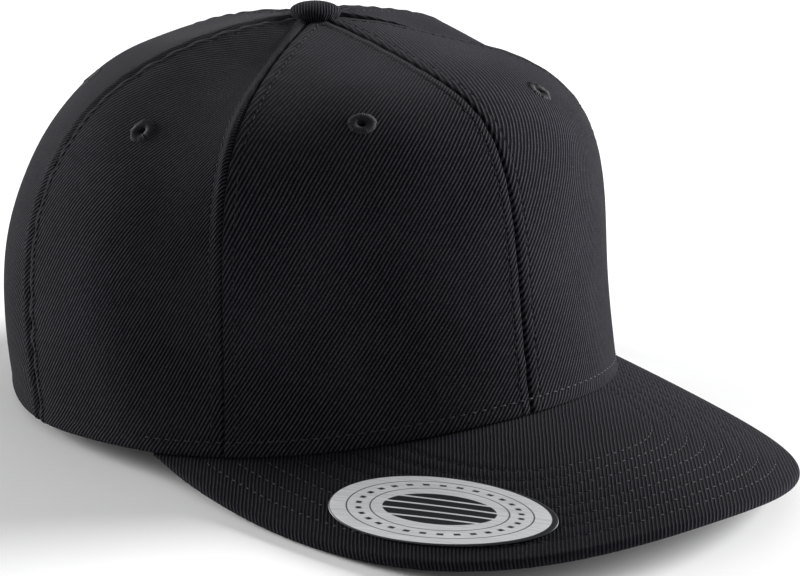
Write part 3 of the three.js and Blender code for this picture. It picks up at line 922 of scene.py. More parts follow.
@dataclass(frozen=True)
class FoilFinish:
    """Brushed silver foil with a dark edge and a plain printed design of rings, dots and bars.

    Attributes:
        name: the material's name.
        half_length: half the oval's length, in metres.
        half_width: half its width.
        silver: the foil's colour.
        bright: its colour in the brightest streaks.
        ink: colour of the design and of the backing.
        shift: how far the silver lies off the middle of its dark backing, along the oval.
        backing: where the silver ends and the backing starts, as shares of the oval.
        rings: inner and outer edge of the two thin rings.
        dot_ring: inner and outer edge of the ring of dots.
        dots: how many dots there are.
        heart: length and width of the barred oval, as shares of the whole one.
        bar_pitch: distance between its bars, in metres.
    """

    name: str
    half_length: float
    half_width: float
    silver: Colour = (0.72, 0.73, 0.75)
    bright: Colour = (0.9, 0.91, 0.92)
    ink: Colour = (0.022, 0.023, 0.027)
    shift: float = 0.0007
    backing: Span = (0.962, 0.97)
    rings: tuple[Span, ...] = ((0.81, 0.822), (0.60, 0.612))
    dot_ring: Span = (0.685, 0.735)
    dots: float = 30.0
    heart: Span = (0.50, 0.44)
    bar_pitch: float = 0.0026

    def oval(self, recipe: Recipe, u: Socket, v: Socket, length: float, width: float) -> Socket:
        """Distance from the middle as a share of an oval: hypot(u / half length, v / half width)."""
        reach = self.half_length * length
        x = recipe.scaled(u, 1.0 / reach, self.shift / reach)
        y = recipe.scaled(v, 1.0 / (self.half_width * width))
        squares = recipe.add(recipe.times(x, x), recipe.times(y, y))
        return recipe.math("SQRT", squares)

    def between(self, recipe: Recipe, value: Socket, low: float, high: float, soft: float) -> Socket:
        """1 where a value lies between two others, 0 outside, with a soft edge."""
        rise = recipe.ramp(value, low - soft, low + soft)
        fall = recipe.scaled(recipe.ramp(value, high - soft, high + soft), -1.0, 1.0)
        return recipe.times(rise, fall)

    def material(self) -> Material:
        """Ink is the greatest of the dark edge, two rings, a ring of dots and a barred oval."""
        recipe = Recipe(self.name, {"Roughness": 0.42, "Metallic": 0.35, "Specular IOR Level": 0.5})
        place = recipe.place(Pattern.FLAT_MAP)
        u, v = recipe.split(place)
        streaks = recipe.noise(recipe.vector(recipe.scaled(u, 0.04), v), 0.0005, 3.0)
        whole = self.oval(recipe, u, v, 1.0, 1.0)
        ink = recipe.ramp(whole, *self.backing)
        for low, high in self.rings:
            ink = recipe.math("MAXIMUM", ink, self.between(recipe, whole, low, high, 0.006))
        turn = recipe.math(
            "ARCTAN2", recipe.scaled(v, 1.0 / self.half_width), recipe.scaled(u, 1.0 / self.half_length)
        )
        beads = recipe.ramp(recipe.sine(recipe.scaled(turn, self.dots)), 0.1, 0.5)
        dots = recipe.times(beads, self.between(recipe, whole, *self.dot_ring, 0.012))
        ink = recipe.math("MAXIMUM", ink, dots)
        heart = recipe.ramp(self.oval(recipe, u, v, *self.heart), 1.01, 0.99)
        bars = recipe.math("ABSOLUTE", recipe.sine(recipe.scaled(v, math.pi / self.bar_pitch)))
        light_bars = recipe.times(recipe.ramp(bars, 0.93, 0.97), heart)
        ink = recipe.math("SUBTRACT", recipe.math("MAXIMUM", ink, heart), light_bars)
        metal = recipe.colour(recipe.ramp(streaks, 0.3, 0.7), self.silver, self.bright)
        shown = recipe.mix(ink, metal, (*self.ink, 1.0))
        return recipe.finish(shown, streaks, 0.00004, 0.25)


@dataclass(frozen=True)
class FloorFinish:
    """Plain pale floor with the faintest unevenness of tone."""

    name: str = "pale_floor"
    low_tone: Colour = (0.86, 0.86, 0.86)
    high_tone: Colour = (0.9, 0.9, 0.9)
    patch: float = 0.6

    def material(self) -> Material:
        """Tone is wide noise between two near whites."""
        recipe = Recipe(self.name, {"Roughness": 0.85})
        place = recipe.place(Pattern.SOLID)
        tone = recipe.noise(place, self.patch, 1.0)
        return recipe.finish(recipe.colour(tone, self.low_tone, self.high_tone), tone, 0.0001, 0.05)


class Wardrobe:
    """All the finishes of the cap, each made once."""

    def __init__(self) -> None:
        """Makes the materials."""
        # Each twill's groove colour is its near-black rib colour darkened further by painted shade of the
        # weave's hollows.
        self.panel = TwillFinish(
            "panel_twill", rib=(0.039, 0.038, 0.044), groove=(0.0013, 0.0010, 0.0030), nap=0.6
        ).material()
        self.visor = TwillFinish(
            "visor_twill",
            rib=(0.0265, 0.0255, 0.0305),
            groove=(0.0030, 0.0026, 0.0048),
            pitch=0.00105,
            lean=40.0,
        ).material()
        self.seam_thread, self.row_thread, self.eyelet_thread = (
            ThreadFinish(name, light, dark).material()
            for name, light, dark in (
                ("seam_thread", (0.016, 0.016, 0.020), (0.005, 0.005, 0.007)),
                ("row_thread", (0.030, 0.030, 0.035), (0.012, 0.012, 0.016)),
                ("eyelet_thread", (0.015, 0.015, 0.019), (0.004, 0.004, 0.006)),
            )
        )
        self.band = BandFinish("sweatband_cloth", (0.022, 0.022, 0.026), (0.006, 0.006, 0.008)).material()
        strap = PlasticFinish("strap_plastic", (0.010, 0.010, 0.011), (0.018, 0.018, 0.019))
        self.plastic = strap.material()


@dataclass(frozen=True)
class Workshop:
    """Makes Blender objects from surfaces of the sewing frame."""

    pose: RestPose

    def piece(
        self, name: str, surface: Surface, material: Material, replaces: tuple[str, ...] = ()
    ) -> bpy.types.Object:
        """Puts a surface into the scene as a piece of the cap.

        Args:
            name: the piece's name.
            surface: its shape in the sewing frame.
            material: its finish.
            replaces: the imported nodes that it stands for.

        Returns:
            The new object, riding on the cap's body.
        """
        made = self.mesh_object(name, self.pose.world(surface.points), surface, material)
        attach(made, BODY)
        if replaces:
            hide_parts(*replaces)
        LOG.info("%s: %d faces", name, len(surface.quads) + len(surface.triangles))
        return made

    def mesh_object(
        self, name: str, places: Array, surface: Surface, material: Material
    ) -> bpy.types.Object:
        """Makes a smooth mesh object with its flat pattern as its UV map, in metres.

        Args:
            name: the object's name.
            places: the corners in metres.
            surface: the faces and the flat pattern.
            material: its finish.

        Returns:
            The new object.
        """
        mesh = bpy.data.meshes.new(name)
        quads, triangles = surface.quads, surface.triangles
        corners = np.concatenate([quads.ravel(), triangles.ravel()]).astype(np.int32)
        starts = np.concatenate([np.arange(len(quads)) * 4, quads.size + np.arange(len(triangles)) * 3])
        mesh.vertices.add(len(places))
        mesh.vertices.foreach_set("co", places.astype(np.float32).ravel())
        mesh.loops.add(len(corners))
        mesh.loops.foreach_set("vertex_index", corners)
        mesh.polygons.add(len(starts))
        mesh.polygons.foreach_set("loop_start", starts.astype(np.int32))
        mesh.update(calc_edges=True)
        mesh.polygons.foreach_set("use_smooth", np.ones(len(starts), bool))
        layer = mesh.uv_layers.new(name="flat_pattern")
        layer.data.foreach_set("uv", (surface.flat[corners] * MM).astype(np.float32).ravel())
        mesh.materials.append(material)
        made = bpy.data.objects.new(name, mesh)
        bpy.context.scene.collection.objects.link(made)
        return made


@dataclass(frozen=True)
class PanelPattern:
    """A panel of the table, cut once for each side.

    Attributes:
        name: the node's name without its side.
        first: number of the seam at its front edge.
        last: number of the seam at its rear edge.
        across: place of its eyelet between the seams, as a share.
        up: the eyelet's share up.
        softness: height of the cloth's soft unevenness, in millimetres.
        sag: how far the panel sinks in between its seams, as a share of the crown's height.
        sag_at: share across the panel at which it does so most.
        weave: how closely the cloth is woven, as a factor on its flat pattern.
    """

    name: str
    first: int
    last: int
    across: float
    up: float
    softness: float
    sag: float
    sag_at: float
    weave: float


@dataclass(frozen=True)
class PanelCut:
    """One of the six panels.

    Attributes:
        pattern: what it is cut from.
        side: the wearer's side.
        start: the seam at which its angles start, in radians.
        end: the seam at which they end.
        eyelet: angle and share up of its eyelet.
    """

    pattern: PanelPattern
    side: Side
    start: float
    end: float
    eyelet: Span

    @property
    def name(self) -> str:
        """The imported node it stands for."""
        return f"{self.pattern.name}_{self.side.name.lower()}"

    @property
    def arched(self) -> bool:
        """Whether the back arch is cut from its lower edge."""
        return self.pattern.last == len(SEAMS) - 1

    @property
    def folded(self) -> bool:
        """Whether the panel's edge lies folded over its front neighbour."""
        return self.pattern.name.startswith("side")


PATTERNS = (
    PanelPattern(
        "front_panel", first=0, last=1, across=0.49, up=0.63,
        softness=0.22, sag=0.0, sag_at=0.5, weave=1.0,
    ),
    PanelPattern(
        "side_panel", first=1, last=2, across=0.567, up=0.664,
        softness=0.35, sag=0.027, sag_at=0.32, weave=1.09,
    ),
    PanelPattern(
        "back_panel", first=2, last=3, across=0.425, up=0.684,
        softness=0.35, sag=0.0235, sag_at=0.45, weave=1.09,
    ),
)


def panel_cuts() -> list[PanelCut]:
    """The six panels: each pattern's seams and eyelet, mirrored to both sides."""
    cuts = []
    for pattern, side in itertools.product(PATTERNS, Side):
        start, end = (math.radians(SEAMS[seam].angle) for seam in (pattern.first, pattern.last))
        low, high = sorted((side.value * start, side.value * end))
        eyelet = start + (end - start) * pattern.across
        cuts.append(PanelCut(pattern, side, low, high, (side.value * eyelet, pattern.up)))
    return cuts


@dataclass(frozen=True)
class SeamRelief:
    """Depth and half width of a seam's groove, and heights of the turned cloth and the gathers."""

    depth: float
    width: float
    turned: float
    pucker: float


@dataclass(frozen=True)
class CapPart:
    """A sub-assembly that takes its form from the cap's shape."""

    shape: CapShape


@dataclass(frozen=True)
class CrownPanels(CapPart):
    """The six cloth panels: sunk seams, raised seam allowances, sewn lines and a rolled hem.

    Attributes:
        columns: steps round each panel.
        rows: steps up each panel.
        crowd: near part of a panel's width at a seam, and the share of the columns that it has.
        arch_steps: points along each part of the arch.
        top_radius: radius at which the panels end under the button.
        crisp_seam: the seams of the front panels.
        soft_seam: the seams behind them.
        turned_at: distance of the turned cloth's ridge from the seam, and half its width.
        dip: depth and half width of the hollow at the seam, the first as a share of the turned cloth.
        gather_reach: distance over which the gathers die away.
        fold: height of the side panels' fold beside the front panels, high on the crown.
        fold_at: distance of the fold's ridge from the seam, and half its width.
        fold_rise: shares of the crown's height between which the fold comes up.
        row_offset: distance of the sewn line from its seam.
        row_depth: depth that a sewn line pulls the cloth in.
        row_width: half a sewn line's width.
        hem_offset: distance of the hem's sewn line from the edge.
        hem_roll: height of the rolled cloth along the edge.
        hem_at: distance of the roll's ridge from the edge, and half its width.
        sag_rise: shares of the crown's height between which the sag comes up.
        sag_reach: shares of the half width between which it fades towards the button.
        soft_wave: length of the waves of the soft unevenness.
        eyelet_cut: radius of the hole cut for an eyelet.
        stitch_pitch: distance between stitches.
    """

    columns: int = 140
    rows: int = 160
    crowd: Span = (0.06, 0.24)
    arch_steps: int = 40
    top_radius: float = 3.6
    crisp_seam: SeamRelief = SeamRelief(depth=1.1, width=0.42, turned=0.12, pucker=0.12)
    soft_seam: SeamRelief = SeamRelief(depth=0.24, width=0.85, turned=0.34, pucker=0.26)
    turned_at: Span = (2.4, 1.3)
    dip: Span = (0.9, 2.2)
    gather_reach: float = 5.0
    fold: float = 0.75
    fold_at: Span = (1.5, 1.3)
    fold_rise: Span = (0.3, 0.8)
    row_offset: float = 3.7
    row_depth: float = 0.15
    row_width: float = 0.34
    hem_offset: float = 4.6
    hem_roll: float = 0.3
    hem_at: Span = (1.9, 1.5)
    sag_rise: Span = (0.25, 0.75)
    sag_reach: Span = (0.065, 0.435)
    soft_wave: float = 46.0
    eyelet_cut: float = 2.5
    stitch_pitch: float = 3.0

    def lower_edge(self, cut: PanelCut) -> tuple[Array, Array]:
        """Angle and share up along a panel's lower edge, with its columns crowded at both seams."""
        share = crowded(self.columns, *self.crowd)
        if not cut.arched:
            return cut.start + (cut.end - cut.start) * share, np.zeros_like(share)
        seam = math.radians(SEAMS[2].angle)
        arch_angle, arch_up = self.shape.arch_line(0.0, self.arch_steps)
        rim = np.linspace(seam, arch_angle[0], 2 * self.arch_steps, endpoint=False)
        angle = np.concatenate([rim, arch_angle])
        up = np.concatenate([np.zeros_like(rim), arch_up])
        total = arc_lengths(self.shape.point(angle, up))
        wanted = share * total[-1]
        angle, up = np.interp(wanted, total, angle), np.interp(wanted, total, up)
        if cut.side is Side.RIGHT:
            return -angle[::-1], up[::-1]
        return angle, up

    def grid(self, cut: PanelCut) -> tuple[Array, Array]:
        """Angles and shares up of a panel's grid: straight from the lower edge to the button's ring."""
        low_angle, low_up = self.lower_edge(cut)
        high_angle = cut.start + (cut.end - cut.start) * crowded(self.columns, *self.crowd)
        high_up = self.shape.up_where(high_angle, "radius", self.top_radius)
        t = np.linspace(0.0, 1.0, self.rows + 1)
        t = 0.25 * t + 0.75 * t * t * (1.5 - 0.5 * t)
        angle = low_angle[:, None] + (high_angle - low_angle)[:, None] * t
        up = low_up[:, None] + (high_up - low_up)[:, None] * t
        return angle, up

    def flat_pattern(self, cut: PanelCut, angle: Array, up: Array) -> Array:
        """The cloth laid flat: across is angle times the middle meridian's radius, along its length."""
        middle = (cut.start + cut.end) / 2
        shares = np.linspace(0.0, 1.0, 400)
        meridian = self.shape.point(np.full_like(shares, middle), shares)
        radius = np.interp(up, shares, np.hypot(meridian[:, 0], meridian[:, 1]))
        along = np.interp(up, shares, arc_lengths(meridian))
        return np.stack([(angle - middle) * radius, along], axis=-1) * cut.pattern.weave

    def swell(self, cut: PanelCut, angle: Array, points: Array) -> Array:
        """How far a panel stands out of the plain crown, away from its seams.

        It sinks in by sag * height * (4 s (1 - s))^1.5, where s is the share across bent so that its
        middle lies at sag_at, and this fades towards the rim and the button. Soft unevenness is added.

        Args:
            cut: the panel.
            angle: angles of the points.
            points: points of the plain crown.

        Returns:
            Heights, one for each point.
        """
        share = np.abs(angle - (cut.start if cut.side is Side.LEFT else cut.end)) / (cut.end - cut.start)
        bent = np.clip(share, 0.0, 1.0) ** (math.log(0.5) / math.log(cut.pattern.sag_at))
        reach = np.hypot(points[..., 0], points[..., 1]) / (self.shape.width / 2)
        risen = smoothstep(points[..., 2] / self.shape.height, *self.sag_rise)
        window = risen * smoothstep(reach, *self.sag_reach)
        sunk = cut.pattern.sag * self.shape.height * (4.0 * bent * (1.0 - bent)) ** 1.5 * window
        return cut.pattern.softness * Ripple(self.soft_wave, seed=3).at(points) - sunk

    def relief(self, cut: PanelCut, angle: Array, points: Array, edge: Array) -> tuple[Array, Array]:
        """Height of the outer face over the plain crown, and the distance from the lower edge.

        It is the sum of a narrow groove and a raised allowance at each seam, sewn lines that dip a
        little deeper at each stitch, gathers that die away from the seams, and soft unevenness.

        Args:
            cut: the panel.
            angle: grid of angles.
            points: grid of points of the plain crown.
            edge: points of the lower edge.

        Returns:
            Heights and distances in the grid's shape.
        """
        height = self.swell(cut, angle, points)
        fold_seam = math.radians(SEAMS[1].angle)
        for number, seam in enumerate((cut.start, cut.end)):
            up = np.linspace(0.0, 1.0, 260)
            distance, along = distance_to_line(points, self.shape.point(np.full_like(up, seam), up))
            if cut.folded and abs(seam) == fold_seam:
                risen = smoothstep(points[..., 2] / self.shape.height, *self.fold_rise)
                height = height + self.fold * risen * bell(distance, *self.fold_at)
            kind = self.soft_seam if abs(seam) > fold_seam else self.crisp_seam
            gather = Ripple(9.0, seed=11 + number).at(along[..., None])
            height = height + kind.pucker * gather * np.exp(-distance / self.gather_reach)
            hollow = self.dip[0] * bell(distance, 0.0, self.dip[1])
            height = height + kind.turned * (bell(distance, *self.turned_at) - hollow)
            height = height - kind.depth * bell(distance, 0.0, kind.width)
            height = height - self.sewn_line(distance, along, self.row_offset)
        distance, along = distance_to_line(points, edge)
        height = height + self.hem_roll * bell(distance, *self.hem_at)
        height = height - self.sewn_line(distance, along, self.hem_offset)
        return height, distance

    def sewn_line(self, distance: Array, along: Array, offset: float) -> Array:
        """Depth of a sewn line: a narrow bell across it, deeper at every stitch."""
        beat = 1.0 - 0.35 * np.cos(2.0 * np.pi * along / self.stitch_pitch)
        return self.row_depth * beat * bell(distance, offset, self.row_width)

    def surface(self, cut: PanelCut) -> Surface:
        """One panel: outer and inner face, rounded at the hem, with a hole for the eyelet."""
        angle, up = self.grid(cut)
        plain = self.shape.point(angle, up)
        height, from_edge = self.relief(cut, angle, plain, plain[:, 0])
        half = self.shape.cloth / 2
        turned_in = 0.9 * edge_round(from_edge, half)
        outer = self.shape.layer(angle, up, turned_in - height)
        soft = self.swell(cut, angle, plain)
        inner = self.shape.layer(angle, up, self.shape.cloth - turned_in - soft)
        seat = self.shape.point(np.array(cut.eyelet[0]), np.array(cut.eyelet[1]))
        middle = (plain[:-1, :-1] + plain[1:, 1:]) / 2
        kept = np.linalg.norm(middle - seat, axis=-1) > self.eyelet_cut
        return thick_sheet(outer, inner, self.flat_pattern(cut, angle, up), kept)

    def build(self, shop: Workshop, material: Material) -> None:
        """Adds all six panels."""
        for cut in panel_cuts():
            shop.piece(f"twill_{cut.name}", self.surface(cut), material, (cut.name,))


@dataclass(frozen=True)
class CrownStitching(CapPart):
    """Threads of the crown: a row on both sides of each seam, one round the rim and one round the arch.

    Attributes:
        panels: the panels that are sewn.
        seam_stitch: the stitches beside the seams.
        hem_stitch: the stitches round the rim and the arch.
        top_radius: radius at which the seam rows end beside the button.
        steps: points along a seam row.
        above_arch: distance over the arch at which the rear rows start.
        low_end: share up, over the edge, at which a seam row starts.
        past_corner: angle that the rim's row runs on behind the visor's corners.
    """

    panels: CrownPanels
    seam_stitch: Stitch = Stitch(pitch=3.0, length=2.3, thickness=0.4)
    hem_stitch: Stitch = Stitch(pitch=3.2, length=2.5, thickness=0.46)
    top_radius: float = 8.4
    steps: int = 300
    above_arch: float = 1.2
    low_end: float = 0.008
    past_corner: float = math.radians(2.0)

    def seam_row(self, seam: float, side: int) -> tuple[Array, Array]:
        """A line beside a seam, at angle seam + side * offset / radius.

        Args:
            seam: the seam's angle in radians.
            side: 1 or -1.

        Returns:
            Points and normals from the rim, or from the arch, to the button.
        """
        low = 0.0
        if abs(seam) > self.shape.rim_level:
            low = float(self.shape.arch_line(self.above_arch, 30)[1][-1])
        high = self.shape.up_where(np.array([seam]), "radius", self.top_radius)[0]
        up = np.linspace(low + self.low_end, high, self.steps)
        radius = np.linalg.norm(self.shape.point(np.full_like(up, seam), up)[:, :2], axis=-1)
        angle = seam + side * self.panels.row_offset / radius
        return self.line(angle, up)

    def line(self, angle: Array, up: Array) -> tuple[Array, Array]:
        """Points in a sewn line's groove, and the way out of the cloth there."""
        plain = self.shape.point(angle, up)
        height = np.zeros_like(angle)
        turned = np.arctan2(np.sin(angle), np.cos(angle))
        for cut in panel_cuts():
            inside = (turned >= cut.start) & (turned < cut.end)
            height = np.where(inside, self.panels.swell(cut, turned, plain), height)
        return self.shape.layer(angle, up, self.panels.row_depth - height), self.shape.normal(angle, up)

    def up_along(self, angle: Array, length: float) -> Array:
        """Share up at which each meridian has risen a given length from the rim."""
        shares = np.linspace(0.0, 0.25, 120)
        grid = self.shape.point(angle[:, None], shares[None])
        rise = np.linalg.norm(grid - grid[:, :1], axis=-1)
        return np.array([np.interp(length, row, shares) for row in rise])

    def hem_row(self) -> tuple[Array, Array]:
        """The row that holds the visor, above the rim from one of its corners to the other."""
        end = self.shape.visor_corner + self.past_corner
        angle = np.linspace(-end, end, 500)
        return self.line(angle, self.up_along(angle, self.panels.hem_offset))

    def arch_row(self) -> tuple[Array, Array]:
        """The row round the arch, its left half mirrored to the right."""
        angle, up = self.shape.arch_line(self.panels.hem_offset, 60)
        rising = up > self.up_along(angle, self.panels.hem_offset)
        angle, up = angle[rising], up[rising]
        both = np.concatenate([angle, 2.0 * np.pi - angle[::-1]])
        return self.line(both, np.concatenate([up, up[::-1]]))

    def build(self, shop: Workshop, seam_thread: Material, row_thread: Material) -> None:
        """Adds the seam rows as one piece and the hem rows as another."""
        rows = []
        for seam in SEAMS:
            signs = (1,) if seam.angle in (0.0, 180.0) else (1, -1)
            for sign, side in itertools.product(signs, (1, -1)):
                row = self.seam_row(sign * math.radians(seam.angle), side)
                rows.append(self.seam_stitch.along(*row, seed=20 + len(rows)))
        shop.piece("seam_stitches", joined(rows), seam_thread)
        hems = [self.hem_stitch.along(*row, seed=60) for row in (self.hem_row(), self.arch_row())]
        shop.piece("hem_stitches", joined(hems), row_thread)


@dataclass(frozen=True)
class Eyelets(CapPart):
    """Six embroidered rings: satin stitches laid side by side round a small hole.

    Attributes:
        panels: the panels they are sewn in.
        hole: radius of the hole.
        rim: outer radius.
        rise: height over the cloth.
        back: height on the inside of the cloth.
        threads: how many stitches lie round the ring.
        thread_steps: corners round the ring for each stitch.
        section_steps: corners of the ring's section.
        ragged: how unevenly the stitches end.
        groove: depth between two stitches.
        uneven: how much the stitches differ in height.
        pattern_radius: radius at which the flat pattern's first axis is true to length.
    """

    panels: CrownPanels
    hole: float = 1.1
    rim: float = 4.3
    rise: float = 0.62
    back: float = 0.5
    threads: int = 34
    thread_steps: int = 6
    section_steps: int = 14
    ragged: float = 0.13
    groove: float = 0.2
    uneven: float = 0.05
    pattern_radius: float = 2.8

    def ring(self, seed: int) -> Surface:
        """The ring about the Z axis, its outside up.

        Its section is an oval, radius = middle + half width * cos and height = middle + half height *
        sin. The outside is lifted a little at every stitch, and each stitch ends at its own radius.

        Args:
            seed: picks the unevenness of the stitches.

        Returns:
            The closed ring.
        """
        sides = self.thread_steps * self.threads
        turn, section = full_turn(sides), full_turn(self.section_steps)
        chance = np.random.default_rng(seed)
        by_chance = np.repeat(chance.normal(0.0, 1.0, self.threads), self.thread_steps)
        beat = 0.5 + 0.5 * np.cos(self.threads * turn + np.pi)
        half_width = (self.rim - self.hole) / 2
        high, low = self.rise, -self.shape.cloth - self.back
        out = np.maximum(np.cos(section), 0.0)[:, None]
        radius = (self.rim + self.hole) / 2 + half_width * np.cos(section)[:, None]
        radius = radius + self.ragged * by_chance * out
        face = np.maximum(np.sin(section), 0.0)[:, None]
        height = (high + low) / 2 + (high - low) / 2 * np.sin(section)[:, None]
        height = height + face * (self.groove * beat - self.groove + self.uneven * by_chance)
        rings = around(radius, turn, height)
        flat = np.stack([np.broadcast_to(turn * self.pattern_radius, radius.shape), radius], axis=-1)
        quads = loop_quads(len(section), sides, closed=True)
        return Surface(rings.reshape(-1, 3), quads, flat=flat.reshape(-1, 2))

    def build(self, shop: Workshop, material: Material) -> None:
        """Adds a ring at each panel's eyelet."""
        for number, cut in enumerate(panel_cuts()):
            ring = self.ring(seed=90 + number)
            angle, up = np.array(cut.eyelet[0]), np.array(cut.eyelet[1])
            axes = axes_along(self.shape.normal(angle, up))
            lift = float(self.panels.swell(cut, angle, self.shape.point(angle, up)))
            ring.points = (ring.points + [0.0, 0.0, lift]) @ axes + self.shape.point(angle, up)
            node = cut.name.replace("_panel", "")
            shop.piece(f"ring_{node}", ring, material, (f"eyelet_{node}",))


@dataclass(frozen=True)
class CoveredButton(CapPart):
    """The button: a dome covered with twill that is gathered under its edge.

    Attributes:
        radius: of the button.
        rise: height of the dome over the crown.
        shoulder: height of the widest place.
        tuck: distance over which the edge rounds in, across and downwards.
        foot: depth of the underside's middle under the shoulder.
        lean: how far it leans to the front.
        gathers: how many folds lie under the edge.
        gather: depth of a fold, as a share of the radius.
        gather_at: height over the shoulder at which the folds start, and way to their full depth.
        weave: how closely the cloth is woven, as a factor on its flat pattern.
        stretch: how much more closely it lies under the edge.
        sides: corners of a ring.
    """

    radius: float = 7.7
    rise: float = 4.0
    shoulder: float = 1.1
    tuck: Span = (3.6, 3.1)
    foot: float = 3.4
    lean: float = math.radians(2.0)
    gathers: int = 17
    gather: float = 0.022
    gather_at: Span = (0.6, 2.4)
    weave: float = 1.35
    stretch: float = 0.35
    sides: int = 144

    def surface(self) -> Surface:
        """The button about its own axis: a dome over a rounded edge, drawn in underneath.

        The dome's radius is the cosine, and its height the sine, of an angle that rises from the
        shoulder. Below the shoulder the cloth rounds in and waves between its gathers.
        """
        turn = full_turn(self.sides)
        under = np.linspace(-np.pi / 2, 0.0, 13)[:-1]
        dome = np.linspace(0.0, np.pi / 2, 17)
        across, down = self.tuck
        inner = self.radius - across + across * np.cos(under)
        radius = np.concatenate([[0.0], inner, self.radius * np.cos(dome)])
        height = np.concatenate([
            [self.shoulder - self.foot],
            self.shoulder + down * np.sin(under),
            self.shoulder + (self.rise - self.shoulder) * np.sin(dome),
        ])
        radius[-1] = 0.0
        above, reach = self.gather_at
        below = np.clip((self.shoulder + above - height) / reach, 0.0, 1.0)[:, None]
        wave = np.cos(self.gathers * turn + 0.6 * np.sin(3 * turn))
        wide = radius[:, None] * (1.0 + self.gather * below * wave)
        rings = around(wide, turn, height[:, None])
        stretch = 1.0 + self.stretch * below[..., None]
        surface = turned_round(rings, rings[..., :2] * stretch * self.weave)
        axes = axes_along(np.array([0.0, -math.sin(self.lean), math.cos(self.lean)]))
        surface.points = surface.points @ axes + [0.0, 0.0, self.shape.height]
        return surface

    def build(self, shop: Workshop, material: Material) -> None:
        """Adds the button."""
        shop.piece("covered_button", self.surface(), material, ("top_button",))


